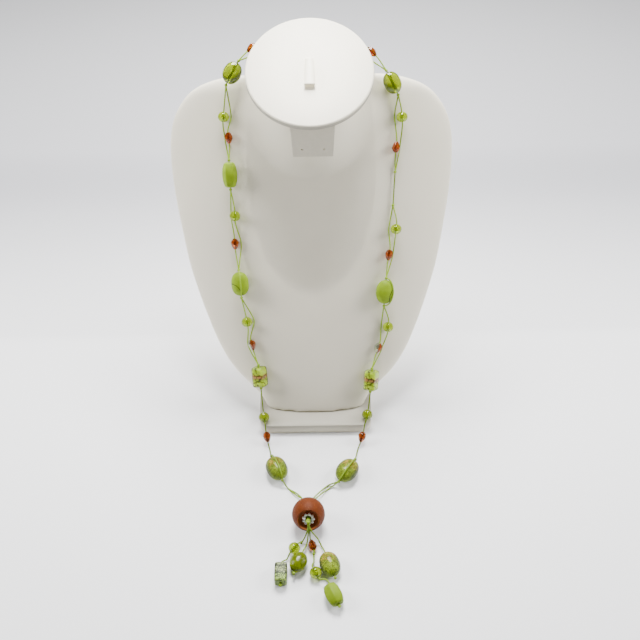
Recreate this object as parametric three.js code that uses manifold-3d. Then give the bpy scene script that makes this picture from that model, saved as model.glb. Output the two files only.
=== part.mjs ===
// A long beaded necklace lying on a plain neck bust.
// Millimetres, +Z up. The front of the bust looks along -Y, and +X is to the right as seen from the front.
// The origin is the centre of the foot board's underside, on the surface that everything stands on.

import * as THREE from 'three';
import { mergeVertices } from 'three/addons/utils/BufferGeometryUtils.js';
import Module from 'manifold-3d';

const wasm = await Module();
wasm.setup();

// Driving dimensions

const DEGREE = Math.PI / 180;

// Clearance between neighbouring pieces
const GAP = 0.3;

// Foot board, with its front edge at y = 0 until the whole part is centred on it
const FOOT_DEPTH = 176;
const FOOT_FRONT_WIDTH = 84.5;
const FOOT_BACK_WIDTH = 94;
const FOOT_HEIGHT = 8.5;
const FOOT_CORNER = 8.5;

// Chest panel, which leans back and is bowed round a vertical line
const CHEST_SETBACK = 12;
const CHEST_RECLINE = 33 * DEGREE;
const CHEST_LENGTH = 249;
const CHEST_HALF_WIDTH = 106;
const CHEST_THICKNESS = 14;
const CHEST_BOW_RADIUS = 214;
const CHEST_RIM_POWER = 5;
const CHEST_TOP_THINNING = 0.45;

// Outline of the chest: how far up it, and the half width there, as shares of its length and half width
const CHEST_OUTLINE = [
  { up: -0.1, half: 0.35 },
  { up: 0.0, half: 0.35 },
  { up: 0.045, half: 0.38 },
  { up: 0.09, half: 0.48 },
  { up: 0.125, half: 0.565 },
  { up: 0.17, half: 0.642 },
  { up: 0.22, half: 0.703 },
  { up: 0.3, half: 0.778 },
  { up: 0.38, half: 0.843 },
  { up: 0.46, half: 0.896 },
  { up: 0.55, half: 0.936 },
  { up: 0.64, half: 0.972 },
  { up: 0.72, half: 0.994 },
  { up: 0.79, half: 1.0 },
  { up: 0.84, half: 0.99 },
  { up: 0.89, half: 0.957 },
  { up: 0.935, half: 0.888 },
  { up: 0.97, half: 0.788 },
  { up: 0.99, half: 0.655 },
  { up: 1.0, half: 0.52 },
];

// Ring pad on top of the neck: its place along the chest and out from it, and its tilt from level
const PAD_RADIUS = 44;
const PAD_THICKNESS = 5;
const PAD_EDGE = 1.5;
const PAD_UP = CHEST_LENGTH - 0.1;
const PAD_OUT = 18;
const PAD_TILT = 26 * DEGREE;

// Neck under the pad
const NECK_RADIUS = 33;
const NECK_LEAN = 12 * DEGREE;
const NECK_FRONT_FILLET = 25;
const NECK_SIDE_FILLET = 17;
const NECK_ROOT = 3.5;
const NECK_BACK_DEPTH = CHEST_THICKNESS - 1.2;

// Tongue on the pad that holds a ring
const TONGUE_LENGTH = 22;
const TONGUE_TOP = 9;
const TONGUE_TOP_WIDTH = 5.7;
const TONGUE_END_WIDTH = 7.4;
const TONGUE_THICKNESS = 1.5;
const TONGUE_RISE = 4 * DEGREE;

// Tab under the pad with two pin holes for earrings
const TAB_HEIGHT = 24.1;
const TAB_TOP_WIDTH = 30.5;
const TAB_END_WIDTH = 28;
const TAB_THICKNESS = 1.6;
const TAB_OVERHANG = 6;
const TAB_OFFSET = 1.5;
const PIN_SPACING = 15;
const PIN_RADIUS = 0.7;
const PIN_HEIGHT = 5.8;

// Stand behind the chest
const STAND_WIDTH = 60;
const STAND_THICKNESS = 6;
const STAND_UP = CHEST_LENGTH - 49;
const STAND_MARGIN = 9;

// Thread and knots
const THREAD_RADIUS = 0.55;
const THREAD_SIDES = 5;
const KNOT_RADIUS = 1.25;
const BORE_RADIUS = 0.95;
const OVER_GAP = 0.6;
const BYPASS_ROOM = 0.9;
const BYPASS_SPAN = 0.2;

// Beads. Length runs along the bore, thick is the flat way.
const BEADS = {
  small: { length: 7.6, width: 8, thick: 8, sides: 10, colour: 0xb6cc1e, roughness: 0.08 },
  amber: { length: 7.8, width: 6, thick: 6, sides: 8, colour: 0xa8480f, roughness: 0.08 },
  green_oval: { length: 15.6, width: 12.6, thick: 9.6, sides: 14, colour: 0x9aaf10, roughness: 0.06 },
  foil_oval: { length: 19.6, width: 15.2, thick: 11, sides: 14, colour: 0x8fa22c, roughness: 0.06 },
  stone_oval: { length: 17.6, width: 13.4, thick: 10.8, sides: 14, colour: 0xa9c04a, roughness: 0.25 },
  barrel: { length: 17.8, width: 12, thick: 10.6, sides: 8, colour: 0xa9c04a, roughness: 0.25 },
  cuboid: { length: 15, width: 9.2, thick: 9.2, sides: 8, colour: 0x97ab2e, roughness: 0.08 },
};
const OVAL_POWER = 2.15;
const CUBOID_CORNER = 1.1;
const CUBOID_BEVEL = 0.8;

// Large bead and its cap
const LARGE_RADIUS = 11.3;
const LARGE_SIDES = 16;
const LARGE_BORE = 2;
const LARGE_TILT = 30 * DEGREE;
const DISH_RADIUS = 7.5;
const DISH_FLOOR_RADIUS = 5;
const DISH_DEPTH = 3.2;
const CAP_RADIUS = 3.6;
const CAP_THICKNESS = 0.7;
const CAP_RISE = 1.1;
const CAP_BALLS = 9;
const CAP_BALL_RADIUS = 0.78;
const STEM_RADIUS = 1.5;
const STEM_KNOT_RADIUS = 2.1;

// Route of the string of beads, bead by bead from the nape to the pendant.
// x is across, up is along the chest, and out, where given, is from the chest's plane.
// Where y is given the bead lies in front of the chest, y from the foot's front edge, on the table or,
// with foot, on the board; z, where given, is its height. pass is the side on which the other strand goes
// by, and over how far aside it lies on a bead's face: left is negative. apart is between two loose strands.
// turn rolls a bead about its bore, lean swings it sideways, both in degrees, and a flipped bead has its
// thin end first.
const LEFT_STRING = [
  { bead: 'guide', x: -12, up: CHEST_LENGTH + 10.4, out: -12 },
  { bead: 'guide', x: -32, up: CHEST_LENGTH + 18.5, out: -9.5 },
  { bead: 'amber', strand: 'one', pass: 1, x: -40.2, up: CHEST_LENGTH + 17.4, out: -3 },
  { bead: 'green_oval', x: -54.3, up: CHEST_LENGTH + 0.8, out: -1, lean: -5 },
  { bead: 'small', strand: 'one', pass: 1, x: -62, up: 220.3 },
  { bead: 'amber', strand: 'two', pass: -1, x: -58.8, up: 205.6 },
  { bead: 'barrel', x: -58.7, up: 179.7, turn: 60, lean: -2 },
  { bead: 'small', strand: 'one', pass: -1, x: -56.2, up: 150.2 },
  { bead: 'amber', strand: 'two', pass: 1, x: -57.1, up: 129.7 },
  { bead: 'stone_oval', x: -54.1, up: 100.5, over: 0.2, lean: -4 },
  { bead: 'small', strand: 'one', pass: 1, x: -50, up: 71.6 },
  { bead: 'amber', strand: 'two', pass: -1, x: -46.8, up: 53.8 },
  { bead: 'cuboid', x: -41.6, up: 29.9, turn: 10, lean: -6 },
  { bead: 'small', strand: 'both', x: -38.8, y: 5.6, foot: true },
  { bead: 'guide', x: -37.6, y: -1.1, z: 10 },
  { bead: 'amber', strand: 'both', x: -36.5, y: -7.5, z: 5.6 },
  { bead: 'guide', x: -34.6, y: -14.6, z: 1.6 },
  { bead: 'foil_oval', x: -28.4, y: -35.6, over: 0.08 },
  { bead: 'guide', x: -20.3, y: -49.4 },
  { bead: 'guide', x: -14, y: -55.2, z: 1.8, apart: 1.3 },
];
const RIGHT_STRING = [
  { bead: 'guide', x: 12, up: CHEST_LENGTH + 10.4, out: -12 },
  { bead: 'guide', x: 33, up: CHEST_LENGTH + 16, out: -9.5 },
  { bead: 'amber', strand: 'one', pass: -1, x: 43.4, up: CHEST_LENGTH + 13.6, out: -3 },
  { bead: 'green_oval', x: 58, up: CHEST_LENGTH - 7.2, lean: 3 },
  { bead: 'small', strand: 'one', pass: -1, x: 65.2, up: 218.4 },
  { bead: 'amber', strand: 'two', pass: 1, x: 61, up: 197.5, flipped: true },
  { bead: 'knot', x: 60.5, up: 179.8 },
  { bead: 'knot', x: 59.1, up: 156.1 },
  { bead: 'small', strand: 'one', pass: -1, x: 61.2, up: 138.8 },
  { bead: 'amber', strand: 'two', pass: 1, x: 56, up: 119.9 },
  { bead: 'stone_oval', x: 52.9, up: 92.9, over: 0.62, lean: -4 },
  { bead: 'small', strand: 'one', pass: -1, x: 55.4, up: 65.8 },
  { bead: 'amber', strand: 'two', pass: 1, x: 47.8, up: 50 },
  { bead: 'cuboid', x: 42.4, up: 26, turn: 42, lean: 8 },
  { bead: 'small', strand: 'both', x: 39, y: 6.6, foot: true },
  { bead: 'guide', x: 36.6, y: -1.6, z: 10 },
  { bead: 'amber', strand: 'both', x: 34.5, y: -8.8, z: 5.6 },
  { bead: 'guide', x: 31.6, y: -15.6, z: 1.6 },
  { bead: 'foil_oval', x: 22.4, y: -38.4, over: 0.15 },
  { bead: 'guide', x: 9.6, y: -48.4, apart: 2.4 },
  { bead: 'guide', x: 4, y: -53.6, z: 1.8, apart: 2 },
];

// The large bead's centre, and the tassel's strands from the cap's knot to their last beads, on the table
const PENDANT = { x: -5.4, y: -77.1 };
const TASSEL = [
  [
    { bead: 'guide', x: -5.6, y: -89.8, z: 10.4 },
    { bead: 'guide', x: -8.8, y: -91.9, z: 3.2 },
    { bead: 'knot', x: -10.4, y: -93.4, z: 1.9 },
    { bead: 'small', x: -15, y: -98.6 },
    { bead: 'guide', x: -19.9, y: -105, z: 1.4 },
    { bead: 'cuboid', x: -23.6, y: -116.8, size: 0.88, lean: 17 },
  ],
  [
    { bead: 'guide', x: -4.4, y: -90.2, z: 10 },
    { bead: 'guide', x: -6.8, y: -95.2, z: 3 },
    { bead: 'green_oval', x: -12.2, y: -108.9, size: 0.9 },
  ],
  [
    { bead: 'guide', x: -5.2, y: -90, z: 11 },
    { bead: 'amber', x: -3, y: -96, flipped: true },
    { bead: 'knot', x: -2, y: -101.6, z: 1.9 },
    { bead: 'guide', x: -2, y: -107, z: 1.4 },
    { bead: 'small', x: -0.9, y: -116.4 },
    { bead: 'barrel', x: 10, y: -130.9, size: 0.96, lean: -13 },
  ],
  [
    { bead: 'guide', x: -3.8, y: -90.6, z: 10.8 },
    { bead: 'guide', x: 0.6, y: -92.2, z: 4.6 },
    { bead: 'guide', x: 3.4, y: -96.4, z: 1.6 },
    { bead: 'foil_oval', x: 8.5, y: -111.1, size: 0.89 },
  ],
];

// Colours and finishes

const finish = (name, color, roughness, metalness = 0) =>
  new THREE.MeshStandardMaterial({ name, color, roughness, metalness });
const LEATHERETTE = finish('white leatherette', 0xe6e4df, 0.55);
const CORD = finish('waxed cord', 0x9dbb50, 0.6);
const SILVER = finish('silver', 0xd8d6d2, 0.25, 1);
const JASPER = finish('red-brown stone', 0x9a4a2c, 0.3);

const part = new THREE.Group();
part.position.y = -FOOT_DEPTH / 2;

function addPiece(name, geometry, material) {
  const mesh = new THREE.Mesh(geometry, material);
  mesh.name = name;
  part.add(mesh);
  return mesh;
}

// Solids

function toSolid(geometry) {
  let bare = geometry.clone();
  bare.deleteAttribute('normal');
  bare.deleteAttribute('uv');
  bare = mergeVertices(bare, 1e-4);
  return new wasm.Manifold(new wasm.Mesh({
    numProp: 3,
    vertProperties: new Float32Array(bare.attributes.position.array),
    triVerts: new Uint32Array(bare.index.array),
  }));
}

function toGeometry(solid) {
  const { vertProperties, triVerts } = solid.getMesh();
  const geometry = new THREE.BufferGeometry();
  geometry.setAttribute('position', new THREE.BufferAttribute(vertProperties, 3));
  geometry.setIndex(new THREE.BufferAttribute(triVerts, 1));
  geometry.computeVertexNormals();
  return geometry;
}

// One solid from many, with edges shorter than a hundredth of a millimetre closed up
const joined = (geometries) =>
  toGeometry(geometries.map(toSolid).reduce((whole, next) => whole.add(next)).simplify(0.01));

// A closed skin through rings of equal length, with a fan on each end. The rings run anticlockwise as
// seen from the last one.
function loft(rings) {
  const count = rings[0].length;
  const centre = (ring) => ring.reduce((sum, p) => sum.add(p), new THREE.Vector3()).divideScalar(count);
  const points = [...rings.flat(), centre(rings[0]), centre(rings[rings.length - 1])];
  const [firstHub, lastHub] = [points.length - 2, points.length - 1];
  const faces = [];
  for (let i = 0; i < count; i += 1) {
    const j = (i + 1) % count;
    for (let k = 0; k < rings.length - 1; k += 1) {
      const [low, high] = [k * count, (k + 1) * count];
      faces.push(low + i, low + j, high + j, low + i, high + j, high + i);
    }
    const top = (rings.length - 1) * count;
    faces.push(firstHub, j, i, lastHub, top + i, top + j);
  }
  const geometry = new THREE.BufferGeometry().setFromPoints(points);
  geometry.setIndex(faces);
  geometry.computeVertexNormals();
  return geometry;
}

// Foot board

function footOutline() {
  const front = FOOT_FRONT_WIDTH / 2;
  const back = FOOT_BACK_WIDTH / 2;
  const shape = new THREE.Shape();
  shape.moveTo(-front + FOOT_CORNER, 0);
  shape.lineTo(front - FOOT_CORNER, 0);
  shape.quadraticCurveTo(front, 0, front, FOOT_CORNER);
  shape.lineTo(back, FOOT_DEPTH - FOOT_CORNER);
  shape.quadraticCurveTo(back, FOOT_DEPTH, back - FOOT_CORNER, FOOT_DEPTH);
  shape.lineTo(-back + FOOT_CORNER, FOOT_DEPTH);
  shape.quadraticCurveTo(-back, FOOT_DEPTH, -back, FOOT_DEPTH - FOOT_CORNER);
  shape.lineTo(-front, FOOT_CORNER);
  shape.quadraticCurveTo(-front, 0, -front + FOOT_CORNER, 0);
  return shape;
}

addPiece('foot_board', new THREE.ExtrudeGeometry(footOutline(), {
  depth: FOOT_HEIGHT, bevelEnabled: false, curveSegments: 6,
}), LEATHERETTE);

// Chest. Points on it are given by x, by up along its middle line and by out from its plane.

const CHEST_UP = new THREE.Vector3(0, Math.sin(CHEST_RECLINE), Math.cos(CHEST_RECLINE));
const CHEST_OUT = new THREE.Vector3(0, -Math.cos(CHEST_RECLINE), Math.sin(CHEST_RECLINE));
const CHEST_TOE = new THREE.Vector3(0, CHEST_SETBACK, FOOT_HEIGHT);

const onChestPlane = (x, up, out) => CHEST_TOE.clone()
  .add(new THREE.Vector3(x, 0, 0)).addScaledVector(CHEST_UP, up).addScaledVector(CHEST_OUT, out);

const chestOutline = new THREE.CubicInterpolant(
  CHEST_OUTLINE.map((row) => row.up), CHEST_OUTLINE.map((row) => row.half), 1);

function chestHalfWidth(up) {
  const share = THREE.MathUtils.clamp(up / CHEST_LENGTH, CHEST_OUTLINE[0].up, 1);
  return chestOutline.evaluate(share)[0] * CHEST_HALF_WIDTH;
}

const chestBow = (x) => Math.sqrt(CHEST_BOW_RADIUS ** 2 - x ** 2) - CHEST_BOW_RADIUS;

// The panel gets thinner over its last twentieth, so that its top edge is round
function chestThickness(up) {
  const nearTop = THREE.MathUtils.clamp((up / CHEST_LENGTH - 0.95) / 0.05, 0, 1);
  return CHEST_THICKNESS * (1 - CHEST_TOP_THINNING * nearTop ** 2);
}

function chestFace(x, up) {
  const share = Math.min(Math.abs(x) / chestHalfWidth(up), 1);
  const rim = (1 - share ** CHEST_RIM_POWER) ** (1 / CHEST_RIM_POWER);
  return chestBow(x) - CHEST_THICKNESS / 2 + (chestThickness(up) / 2) * rim;
}

// The chest's face is bowed, so the way out of it leans with x
function chestNormal(x, up) {
  const slope = (chestFace(x + 1, up) - chestFace(x - 1, up)) / 2;
  return CHEST_OUT.clone().add(new THREE.Vector3(-slope, 0, 0)).normalize();
}

const onChest = (x, up, lift) =>
  onChestPlane(x, up, chestFace(x, up) + lift / chestNormal(x, up).dot(CHEST_OUT));

// A slice through the panel: a flat rounded loop bent to the bow
function chestSlice(up, grow) {
  const half = chestHalfWidth(up) + grow;
  const thick = chestThickness(up) / 2 + grow;
  const ring = [];
  const steps = 28;
  for (let i = 0; i < steps; i += 1) {
    const angle = (i / steps) * 2 * Math.PI;
    const share = Math.cos(angle);
    const rim = Math.max(1 - Math.abs(share) ** CHEST_RIM_POWER, 0) ** (1 / CHEST_RIM_POWER);
    const depth = thick * Math.sign(Math.sin(angle)) * rim;
    ring.push(onChestPlane(half * share, up, chestBow(half * share) - CHEST_THICKNESS / 2 + depth));
  }
  return ring;
}

function chestPanel(grow) {
  const slices = [];
  const steps = 22;
  const start = CHEST_OUTLINE[0].up;
  for (let i = 0; i <= steps; i += 1) {
    const share = start + (1 - start) * (1 - (1 - i / steps) ** 1.5);
    slices.push(chestSlice(share * CHEST_LENGTH, grow).reverse());
  }
  return loft(slices);
}

// Ring pad: its face, its axis and the way up across it

const PAD_AXIS = new THREE.Vector3(0, -Math.sin(PAD_TILT), Math.cos(PAD_TILT));
const PAD_UPHILL = new THREE.Vector3(0, Math.cos(PAD_TILT), Math.sin(PAD_TILT));
const PAD_CENTRE = onChestPlane(0, PAD_UP, PAD_OUT);
const onPad = (x, uphill, above) => PAD_CENTRE.clone().add(new THREE.Vector3(x, 0, 0))
  .addScaledVector(PAD_UPHILL, uphill).addScaledVector(PAD_AXIS, above);

function padGeometry() {
  const profile = new THREE.Path();
  profile.moveTo(0, -PAD_THICKNESS);
  profile.lineTo(PAD_RADIUS - PAD_EDGE, -PAD_THICKNESS);
  profile.quadraticCurveTo(PAD_RADIUS, -PAD_THICKNESS, PAD_RADIUS, -PAD_THICKNESS + PAD_EDGE);
  profile.lineTo(PAD_RADIUS, -PAD_EDGE);
  profile.quadraticCurveTo(PAD_RADIUS, 0, PAD_RADIUS - PAD_EDGE, 0);
  profile.lineTo(0, 0);
  return new THREE.LatheGeometry(profile.getPoints(3), 32).rotateX(Math.PI / 2);
}

const pad = addPiece('ring_pad', padGeometry(), LEATHERETTE);
pad.position.copy(PAD_CENTRE);
pad.rotation.x = PAD_TILT;

// The neck runs from the pad's underside down into the chest, and flares where it meets it.
// Each of its front, side and back lines is a curve from the pad through a corner to a root in the chest.

const NECK_AXIS = new THREE.Vector3(0, -Math.sin(NECK_LEAN), Math.cos(NECK_LEAN));

function neckLine(top, fillet, floor) {
  const rise = top.clone().sub(CHEST_TOE).dot(CHEST_OUT) - floor;
  const corner = top.clone().addScaledVector(NECK_AXIS, -rise / NECK_AXIS.dot(CHEST_OUT));
  const root = corner.clone().add(fillet).addScaledVector(CHEST_OUT, -NECK_ROOT);
  return new THREE.QuadraticBezierCurve3(top, corner, root);
}

function neckGeometry() {
  const below = -PAD_THICKNESS - GAP;
  const backFloor = -NECK_BACK_DEPTH + NECK_ROOT;
  const front = neckLine(onPad(0, -NECK_RADIUS, below), CHEST_UP.clone().multiplyScalar(-NECK_FRONT_FILLET), 0);
  const side = neckLine(onPad(NECK_RADIUS, 0, below), new THREE.Vector3(NECK_SIDE_FILLET, 0, 0),
    chestBow(NECK_RADIUS));
  const back = neckLine(onPad(0, NECK_RADIUS, below), CHEST_UP.clone().multiplyScalar(-NECK_SIDE_FILLET), backFloor);
  const rings = [];
  const [levels, steps] = [7, 24];
  for (let k = levels; k >= 0; k -= 1) {
    const [f, s, b] = [front, side, back].map((line) => line.getPoint(k / levels));
    const ring = [];
    for (let i = 0; i < steps; i += 1) {
      const angle = (i / steps) * 2 * Math.PI;
      const along = Math.cos(angle);
      const end = along > 0 ? f : b;
      const point = new THREE.Vector3(0, s.y, s.z).lerp(new THREE.Vector3(0, end.y, end.z), Math.abs(along));
      point.x = s.x * Math.sin(angle);
      ring.push(point);
    }
    rings.push(ring);
  }
  return loft(rings);
}

function chestForm() {
  const room = 4 * CHEST_HALF_WIDTH;
  const ground = new THREE.BoxGeometry(room, room, room);
  ground.translate(0, CHEST_SETBACK, FOOT_HEIGHT + GAP - room / 2);
  return toSolid(chestPanel(0)).add(toSolid(neckGeometry())).subtract(toSolid(ground));
}

addPiece('chest_form', toGeometry(chestForm()), LEATHERETTE);

// Stand behind the chest: a leaning board from the foot to the panel's back

function standGeometry() {
  const foot = FOOT_DEPTH - STAND_MARGIN;
  const head = onChestPlane(0, STAND_UP, -CHEST_THICKNESS / 2);
  const shape = new THREE.Shape();
  shape.moveTo(foot - STAND_THICKNESS, FOOT_HEIGHT + GAP);
  shape.lineTo(foot, FOOT_HEIGHT + GAP);
  shape.lineTo(head.y + STAND_THICKNESS, head.z);
  shape.lineTo(head.y, head.z);
  const board = new THREE.ExtrudeGeometry(shape, { depth: STAND_WIDTH, bevelEnabled: false });
  board.applyMatrix4(new THREE.Matrix4().makeBasis(
    new THREE.Vector3(0, 1, 0), new THREE.Vector3(0, 0, 1), new THREE.Vector3(1, 0, 0)));
  board.translate(-STAND_WIDTH / 2, 0, 0);
  return toGeometry(toSolid(board).subtract(toSolid(chestPanel(GAP))));
}

addPiece('back_stand', standGeometry(), LEATHERETTE);

// Tongue on the pad, and the tab under it

function taperedShape(topWidth, endWidth, length) {
  const shape = new THREE.Shape();
  shape.moveTo(-topWidth / 2, 0);
  shape.lineTo(-endWidth / 2, -length);
  shape.lineTo(endWidth / 2, -length);
  shape.lineTo(topWidth / 2, 0);
  shape.closePath();
  return shape;
}

const tongue = addPiece('ring_tongue', new THREE.ExtrudeGeometry(
  taperedShape(TONGUE_TOP_WIDTH, TONGUE_END_WIDTH, TONGUE_LENGTH),
  { depth: TONGUE_THICKNESS, bevelEnabled: false }), LEATHERETTE);
tongue.position.copy(onPad(0, TONGUE_TOP, GAP));
tongue.rotation.x = PAD_TILT - TONGUE_RISE;

function tabGeometry() {
  const shape = taperedShape(TAB_TOP_WIDTH, TAB_END_WIDTH, TAB_HEIGHT);
  for (const side of [-1, 1]) {
    const hole = new THREE.Path();
    hole.absarc(side * PIN_SPACING / 2, -TAB_HEIGHT + PIN_HEIGHT, PIN_RADIUS, 0, 2 * Math.PI, true);
    shape.holes.push(hole);
  }
  return new THREE.ExtrudeGeometry(shape, { depth: TAB_THICKNESS, bevelEnabled: false, curveSegments: 4 });
}

const tabTop = onPad(0, -PAD_RADIUS + TAB_OVERHANG, -PAD_THICKNESS - GAP);
tabTop.z -= TAB_THICKNESS * Math.tan(PAD_TILT);
const tab = addPiece('earring_tab', tabGeometry(), LEATHERETTE);
tab.position.set(TAB_OFFSET, tabTop.y, tabTop.z);
tab.rotation.x = Math.PI / 2;

// Bead shapes, each with its bore along Z, its width along X and its flat way along Y

// A turned bead: rows of share of half length and share of half width, closed along the bore
function turnedBead(kind, rows) {
  const points = rows.map((row) => new THREE.Vector2(
    Math.max(row.width * kind.width / 2, kind.bore), row.length * kind.length / 2));
  points.push(new THREE.Vector2(kind.bore, points[points.length - 1].y));
  points.unshift(new THREE.Vector2(kind.bore, points[0].y));
  points.push(points[0].clone());
  const distinct = points.filter((p, i) => i === 0 || p.distanceTo(points[i - 1]) > 1e-3);
  const geometry = new THREE.LatheGeometry(distinct, kind.sides).rotateX(Math.PI / 2);
  return geometry.scale(1, kind.thick / kind.width, 1);
}

function ovalRows(steps, power) {
  const rows = [];
  for (let i = 0; i <= steps; i += 1) {
    const angle = (i / steps - 0.5) * Math.PI;
    const [c, s] = [Math.cos(angle), Math.sin(angle)];
    rows.push({ length: Math.sign(s) * Math.abs(s) ** (2 / power), width: Math.abs(c) ** (2 / power) });
  }
  return rows;
}

const DROP_ROWS = [
  { length: -1, width: 0.42 }, { length: -0.62, width: 0.84 }, { length: -0.12, width: 1 },
  { length: 0.42, width: 0.78 }, { length: 1, width: 0.36 },
];
const BARREL_ROWS = [
  { length: -1, width: 0.5 }, { length: -0.88, width: 0.7 }, { length: -0.48, width: 0.96 },
  { length: 0, width: 1 }, { length: 0.48, width: 0.96 }, { length: 0.88, width: 0.7 },
  { length: 1, width: 0.5 },
];

function cuboidBead(kind) {
  const half = kind.width / 2;
  const cut = half - CUBOID_CORNER;
  const shape = new THREE.Shape([
    [cut, -half], [half, -cut], [half, cut], [cut, half],
    [-cut, half], [-half, cut], [-half, -cut], [-cut, -half],
  ].map(([x, y]) => new THREE.Vector2(x, y)));
  const hole = new THREE.Path();
  hole.absarc(0, 0, kind.bore, 0, 2 * Math.PI, true);
  shape.holes.push(hole);
  return new THREE.ExtrudeGeometry(shape, {
    depth: kind.length - 2 * CUBOID_BEVEL, bevelThickness: CUBOID_BEVEL, bevelSize: CUBOID_BEVEL,
    bevelOffset: -CUBOID_BEVEL, bevelSegments: 1, curveSegments: 4,
  }).translate(0, 0, -kind.length / 2 + CUBOID_BEVEL);
}

const SHAPES = {
  small: (kind) => turnedBead(kind, ovalRows(7, 2)),
  amber: (kind) => turnedBead(kind, DROP_ROWS),
  green_oval: (kind) => turnedBead(kind, ovalRows(8, OVAL_POWER)),
  foil_oval: (kind) => turnedBead(kind, ovalRows(8, OVAL_POWER)),
  stone_oval: (kind) => turnedBead(kind, ovalRows(8, OVAL_POWER)),
  barrel: (kind) => turnedBead(kind, BARREL_ROWS),
  cuboid: cuboidBead,
};

// The bead of a row at its own size, with a bore that lets the thread through the flat way too
function beadKind(row) {
  const kind = BEADS[row.bead];
  const size = row.size ?? 1;
  const bore = BORE_RADIUS * kind.width / kind.thick;
  return { ...kind, length: kind.length * size, width: kind.width * size, thick: kind.thick * size, bore };
}

const isBead = (row) => row.bead in BEADS;
const isStation = (row) => row.bead === 'knot' || (isBead(row) && !row.strand);

// Half the height that a bead takes on what it lies on
function beadSeat(row) {
  const kind = beadKind(row);
  const turn = (row.turn ?? 0) * DEGREE;
  const [c, s] = [Math.abs(Math.cos(turn)), Math.abs(Math.sin(turn))];
  if (row.bead === 'cuboid') {
    return (kind.thick / 2) * c + (kind.width / 2 - CUBOID_CORNER) * s;
  }
  return Math.hypot((kind.thick / 2) * c, (kind.width / 2) * s);
}

// The point that is lift above what a row lies on, moved sideways by shift
function aboveRow(row, lift, shift = new THREE.Vector3()) {
  if (row.z !== undefined) return new THREE.Vector3(row.x, row.y, row.z).add(shift);
  if (row.y !== undefined) {
    const floor = row.foot ? FOOT_HEIGHT : 0;
    return new THREE.Vector3(row.x + shift.x, row.y + shift.y, floor + lift);
  }
  const [x, up] = [row.x + shift.x, row.up + shift.dot(CHEST_UP)];
  return row.out === undefined ? onChest(x, up, lift) : onChestPlane(x, up, row.out);
}

function rowCentre(row) {
  const half = isBead(row) ? beadSeat(row) : row.bead === 'knot' ? KNOT_RADIUS : THREAD_RADIUS;
  return aboveRow(row, half + GAP);
}

function rowNormal(row) {
  if (row.y !== undefined) return new THREE.Vector3(0, 0, 1);
  return row.out === undefined ? chestNormal(row.x, row.up) : CHEST_OUT.clone();
}

// Each row's frame: its centre, the way along the string, the way across and the way out. Beads that lie
// on the chest, the board or the table lie along it.
function frames(rows, start, end) {
  const centres = [start, ...rows.map(rowCentre), end];
  return rows.map((row, i) => {
    const along = centres[i + 2].clone().sub(centres[i]);
    const normal = rowNormal(row);
    if (row.z === undefined && row.out === undefined) along.projectOnPlane(normal);
    const across = normal.cross(along).normalize();
    const out = along.normalize().clone().cross(across);
    const swing = new THREE.Quaternion().setFromAxisAngle(out, (row.lean ?? 0) * DEGREE);
    along.applyQuaternion(swing);
    across.applyQuaternion(swing);
    return { row, centre: centres[i + 1], along, across, out };
  });
}

function addBead(name, frame) {
  const { row, centre, along, across, out } = frame;
  const kind = beadKind(row);
  const mesh = addPiece(name, SHAPES[row.bead](kind), finish(row.bead, kind.colour, kind.roughness));
  mesh.position.copy(centre);
  mesh.quaternion.setFromRotationMatrix(new THREE.Matrix4().makeBasis(across, out, along));
  mesh.rotateZ((row.turn ?? 0) * DEGREE);
  if (row.flipped) mesh.rotateY(Math.PI);
}

function addBeads(side, placed) {
  const counts = {};
  for (const frame of placed.filter(({ row }) => isBead(row))) {
    const kind = frame.row.bead;
    counts[kind] = (counts[kind] ?? 0) + 1;
    addBead(`${side}_${kind}_${counts[kind]}`, frame);
  }
}

// Thread: tubes through chosen points, and knots

class Polyline extends THREE.Curve {
  constructor(points) {
    super();
    this.points = points;
  }

  getPoint(t) {
    const place = THREE.MathUtils.clamp(t, 0, 1) * (this.points.length - 1);
    const index = Math.min(Math.floor(place), this.points.length - 2);
    return this.points[index].clone().lerp(this.points[index + 1], place - index);
  }

  getPointAt(u) {
    return this.getPoint(u);
  }

  getTangentAt(u) {
    return this.getTangent(u);
  }
}

function tube(points, radius) {
  const section = new THREE.Shape();
  for (let i = 0; i < THREAD_SIDES; i += 1) {
    const angle = (i / THREAD_SIDES) * 2 * Math.PI;
    const [x, y] = [radius * Math.cos(angle), radius * Math.sin(angle)];
    if (i === 0) section.moveTo(x, y);
    else section.lineTo(x, y);
  }
  section.closePath();
  return new THREE.ExtrudeGeometry(section, { steps: points.length - 1, extrudePath: new Polyline(points) });
}

const thread = (points) => tube(points, THREAD_RADIUS);
const knot = (centre, radius = KNOT_RADIUS) =>
  new THREE.SphereGeometry(radius, 6, 4).translate(centre.x, centre.y, centre.z);

function mouths({ row, centre, along }, beyond) {
  const reach = beadKind(row).length / 2 + beyond;
  return [centre.clone().addScaledVector(along, -reach), centre.clone().addScaledVector(along, reach)];
}

// Where a strand goes at a bead: through it if it is strung on it, and otherwise past its side
function strandPoints(frame, strand) {
  const { row, centre, along, across } = frame;
  if (!isBead(row)) {
    const apart = (strand === 'one' ? -0.5 : 0.5) * (row.apart ?? 0);
    return [centre.clone().addScaledVector(across, apart)];
  }
  if (!row.strand || row.strand === strand || row.strand === 'both') return mouths(frame, 1);
  const kind = beadKind(row);
  const room = kind.width / 2 + THREAD_RADIUS + GAP;
  const drop = row.out === undefined ? beadSeat(row) - THREAD_RADIUS : 0;
  const side = row.pass * (Math.sqrt(Math.max(room ** 2 - drop ** 2, 0)) + BYPASS_ROOM);
  return [-1, 1].map((end) => aboveRow(row, THREAD_RADIUS + GAP,
    across.clone().multiplyScalar(side).addScaledVector(along, end * kind.length * BYPASS_SPAN)));
}

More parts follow.
